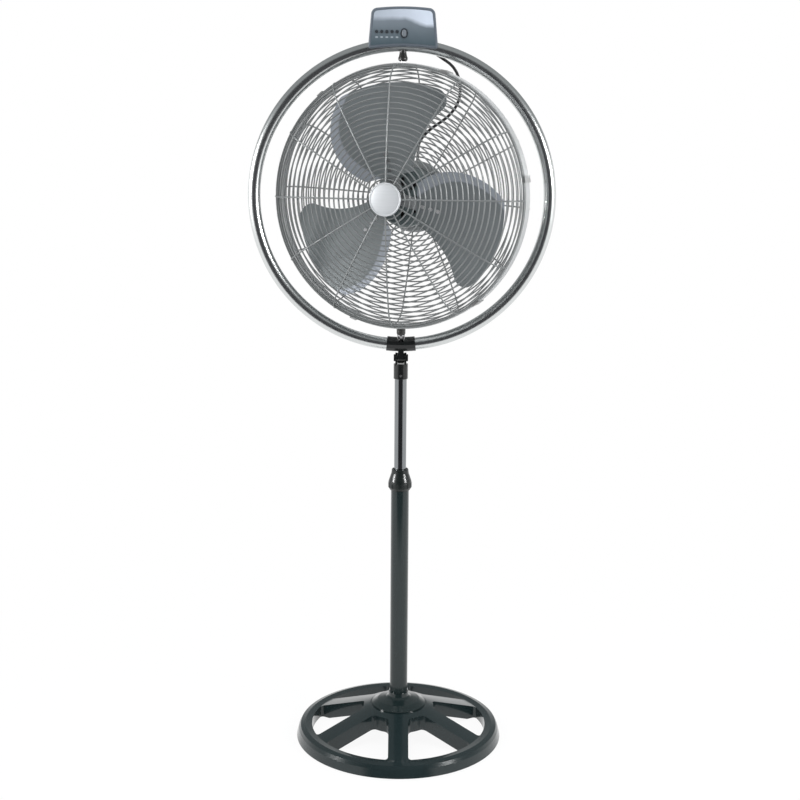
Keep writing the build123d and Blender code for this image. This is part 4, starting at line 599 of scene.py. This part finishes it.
def wire_ring(radius, height, thickness, sides=6):
    """One closed ring of wire round the z axis."""
    ring = bmesh.new()
    bmesh.ops.create_circle(
        ring, segments=sides, radius=thickness,
        matrix=Matrix.Translation((radius, 0.0, height)) @ Matrix.Rotation(pi / 2, 4, "X"),
    )
    bmesh.ops.spin(
        ring, geom=ring.verts[:] + ring.edges[:], cent=(0, 0, 0), axis=(0, 0, 1),
        angle=2 * pi, steps=ring_steps, use_merge=True,
    )
    bmesh.ops.recalc_face_normals(ring, faces=ring.faces)
    return ring


def gather(target, part):
    """Adds one bmesh to another."""
    held = bpy.data.meshes.new("held")
    part.to_mesh(held)
    part.free()
    target.from_mesh(held)
    bpy.data.meshes.remove(held)


def wire_guard(depth, sign, rim, first_ring, radial_start, turn):
    """A domed guard: rings spaced evenly along the dome, and the radial wires outside them."""
    guard = bmesh.new()
    gather(guard, wire_ring(guard_radius, rim, rim_radius, sides=10))
    walked, radius, step = 0.0, first_ring, 0.0005
    while radius < guard_radius - 0.0004:
        if walked <= 0.0:
            gather(guard, wire_ring(radius, rim + sign * dome(radius, depth), wire_radius))
            walked = ring_pitch
        slope = (dome(radius - step / 2, depth) - dome(radius + step / 2, depth)) / step
        radius += step
        walked -= step * sqrt(1 + slope**2)
    line = []
    lift = 2 * wire_radius - 0.0004
    first_angle = asin(reach / (face_radius(depth) - rim_bend))
    turn_radius = reach + rim_bend * sin(first_angle)
    face_points = 15
    bend_points = 10
    last_angle = radians(86.0)
    for index in range(face_points):
        radius = radial_start + (turn_radius - radial_start) * index / face_points
        line.append((radius, 0.0, rim + sign * (dome(radius, depth) + lift)))
    for index in range(bend_points + 1):
        angle = first_angle + (last_angle - first_angle) * index / bend_points
        bend = rim_bend + lift * (1 - (index / bend_points) ** 3)
        line.append((reach + bend * sin(angle), 0.0, rim + sign * bend * cos(angle)))
    radial = bmesh.new()
    held = as_mesh("radial", thread(line, wire_radius, sides=1))
    radial.from_mesh(held)
    bpy.data.meshes.remove(held)
    turning = Matrix.Rotation(radians(turn), 3, "Z")
    bmesh.ops.rotate(radial, cent=(0, 0, 0), matrix=turning, verts=radial.verts)
    bmesh.ops.spin(
        radial, geom=radial.verts[:] + radial.edges[:] + radial.faces[:], cent=(0, 0, 0), axis=(0, 0, 1),
        angle=2 * pi * (radial_count - 1) / radial_count, steps=radial_count - 1, use_duplicate=True,
    )
    gather(guard, radial)
    return guard


front_rim = 0.0284
back_rim = -0.0084
front_mesh = wire_guard(depth=0.069, sign=1, rim=front_rim, first_ring=0.039, radial_start=0.024, turn=0.0)
disc_radius = 0.029
disc_front = 0.0969
disc_back = 0.0953
gather(front_mesh, turned([
    (0.0, disc_front), (disc_radius, disc_front), (0.030, 0.0961), (disc_radius, disc_back), (0.0, disc_back),
]))
front_shape = to_mesh("front_wires", front_mesh, head_place, wire_sharp)
front_wires = new_piece("front_wires", front_shape, guard_wire, "head")
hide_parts("front_guard")
rear_mesh = wire_guard(depth=0.077, sign=-1, rim=back_rim, first_ring=0.082, radial_start=0.066, turn=-4.0)
flat_inner = 0.060
flat_outer = 0.072
flat_top = -0.08215
flat_back = flat_top - 0.0024
gather(rear_mesh, turned([
    (flat_inner, flat_top), (flat_outer, flat_top), (flat_outer, flat_back), (flat_inner, flat_back),
    (flat_inner, flat_top),
]))
rear_shape = to_mesh("rear_wires", rear_mesh, head_place, wire_sharp)
rear_wires = new_piece("rear_wires", rear_shape, painted_lighter_rear_wire, "head")
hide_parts("rear_guard")

# Hoop and motor plate: a rolled steel band that the rims of both guards meet in, and the pressed
# plate behind the motor. Both are sprayed a pale silver grey.
hoop_paint = Finish("hoop_paint", metallic=0.35)
hoop_cloud = hoop_paint.noise(18.0, detail=3.0)
hoop_grain = hoop_paint.noise(1500.0, detail=2.0)
hoop_paint.set(base_color=hoop_paint.mix(hoop_cloud, rgb(0.58, 0.59, 0.59), rgb(0.66, 0.67, 0.67)))
hoop_paint.set(roughness=hoop_grain * 0.08 + hoop_cloud * 0.1 + 0.24)
hoop_paint.bump(hoop_grain, 0.00006, 0.4)
hoop_paint.dress("guard_hoop", "motor_plate")

# Badge: a plain domed disc with a rolled rim, in brushed and lacquered aluminium.
# It covers the small disc where the front guard's radial wires end, and it is left bare.
badge_metal = Finish("badge_metal", metallic=0.25, coat_weight=0.15)
badge_radius = 0.0330
badge_back = 0.1020
badge_outline = [(0.0, 0.1064), (0.010, 0.1062), (0.020, 0.1054), (0.0275, 0.1040), (0.0292, 0.1036)]
badge_outline += [(0.0300, 0.1043), (0.0312, 0.1047), (0.0324, 0.1043), (badge_radius, 0.1034)]
badge_outline += [(badge_radius, badge_back), (0.0, badge_back)]
badge_shape = to_mesh("domed_badge", turned(badge_outline, 96), head_place, sharp=50.0)
badge_disc = new_piece("domed_badge", badge_shape, badge_metal, "head")
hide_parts("badge")
brush = badge_metal.noise(300.0, detail=3.0, where=badge_metal.place(stretch=(0.05, 0.05, 2.0)))
badge_metal.set(base_color=badge_metal.mix(brush, rgb(0.47, 0.485, 0.50), rgb(0.57, 0.585, 0.60)))
badge_metal.set(roughness=brush * 0.15 + 0.42)
badge_metal.bump(brush, 0.00004, 0.4)

# Fan motor: two die-cast end bells, sprayed grey-green, over a stack of varnished sheet.
# A black plastic cap closes the terminals behind the rear guard.
motor_paint = enamel(
    "motor_paint", rgb(0.100, 0.130, 0.132), rgb(0.130, 0.160, 0.162), roughness=0.38, peel=380.0,
)
motor_paint.dress("motor_front_bell", "motor_rear_bell")
stack = Finish("varnished_stack", metallic=0.4, roughness=0.5)
along = stack.node("SeparateXYZ", output=1, Vector=stack.place(turn=(0.0, 0.0, -yaw)))
sheet_wave = 6000.0     # radians a metre, so that a sheet is about a millimetre thick
sheets = (along * sheet_wave).math("SINE").band(-0.6, 0.6)
stack.set(base_color=stack.mix(sheets, rgb(0.05, 0.045, 0.04), rgb(0.14, 0.13, 0.12)))
stack.bump(sheets, 0.0001, 0.5)
stack.dress("motor_stator", "rotor_core")
cap_plastic = moulded("cap_plastic", rgb(0.014, 0.016, 0.017), rgb(0.024, 0.026, 0.027), roughness=0.42)
cap_plastic.dress("rear_cap")

# Blades and hub: broad paddles pressed from sheet, sprayed a satin grey, and riveted to the hub's arms.
# Along one edge of each blade a lighter band is painted into the colour, a painted highlight for where the
# sheet curls towards the light.
blade_paint = Finish("blade_paint", metallic=0.2, specular_ior_level=0.3)
blade_cloud = blade_paint.noise(7.0, detail=4.0)
blade_grain = blade_paint.noise(1300.0, detail=2.0)
blade_spot = blade_paint.place()
blade_x, blade_y, blade_z = (
    blade_paint.node("SeparateXYZ", output=index, Vector=blade_spot) for index in range(3)
)
to_side = blade_x * cos(yaw) + blade_y * sin(yaw)
to_top = blade_z - ring_center.z
from_axis = (to_side * to_side + to_top * to_top).math("SQRT")
bearing = to_top.math("ARCTAN2", to_side) * (180 / pi)
blade_spacing = 120.0
blade_bearing = 105.0   # of the middle of one blade, at rest
past_center = (bearing - (blade_bearing - blade_spacing / 2)).math("FLOORED_MODULO", blade_spacing)
past_center = past_center - blade_spacing / 2
edge_angle = from_axis * 138.5 + 39.56 - from_axis * from_axis * 1080.0
inside_edge = (edge_angle - past_center) * (pi / 180) * from_axis
# Painted highlight: the band along each blade's edge is mixed towards a pale blue-grey.
painted_edge_highlight = (1.0 - inside_edge.band(0.017, 0.021)) * (blade_cloud * 0.4 + 0.75)
sprayed = blade_paint.mix(blade_cloud, rgb(0.165, 0.182, 0.186), rgb(0.200, 0.218, 0.223))
blade_paint.set(base_color=blade_paint.mix(painted_edge_highlight, sprayed, rgb(0.34, 0.365, 0.405)))
blade_paint.set(roughness=blade_grain * 0.08 + blade_cloud * 0.12 + 0.46)
blade_paint.bump(blade_grain, 0.00008, 0.4)
blade_paint.dress("fan_blades")
hub_metal = plated("hub_metal", rgb(0.30, 0.31, 0.32), rgb(0.40, 0.41, 0.42), roughness=0.34, depth=0.00008)
hub_metal.dress("fan_hub")
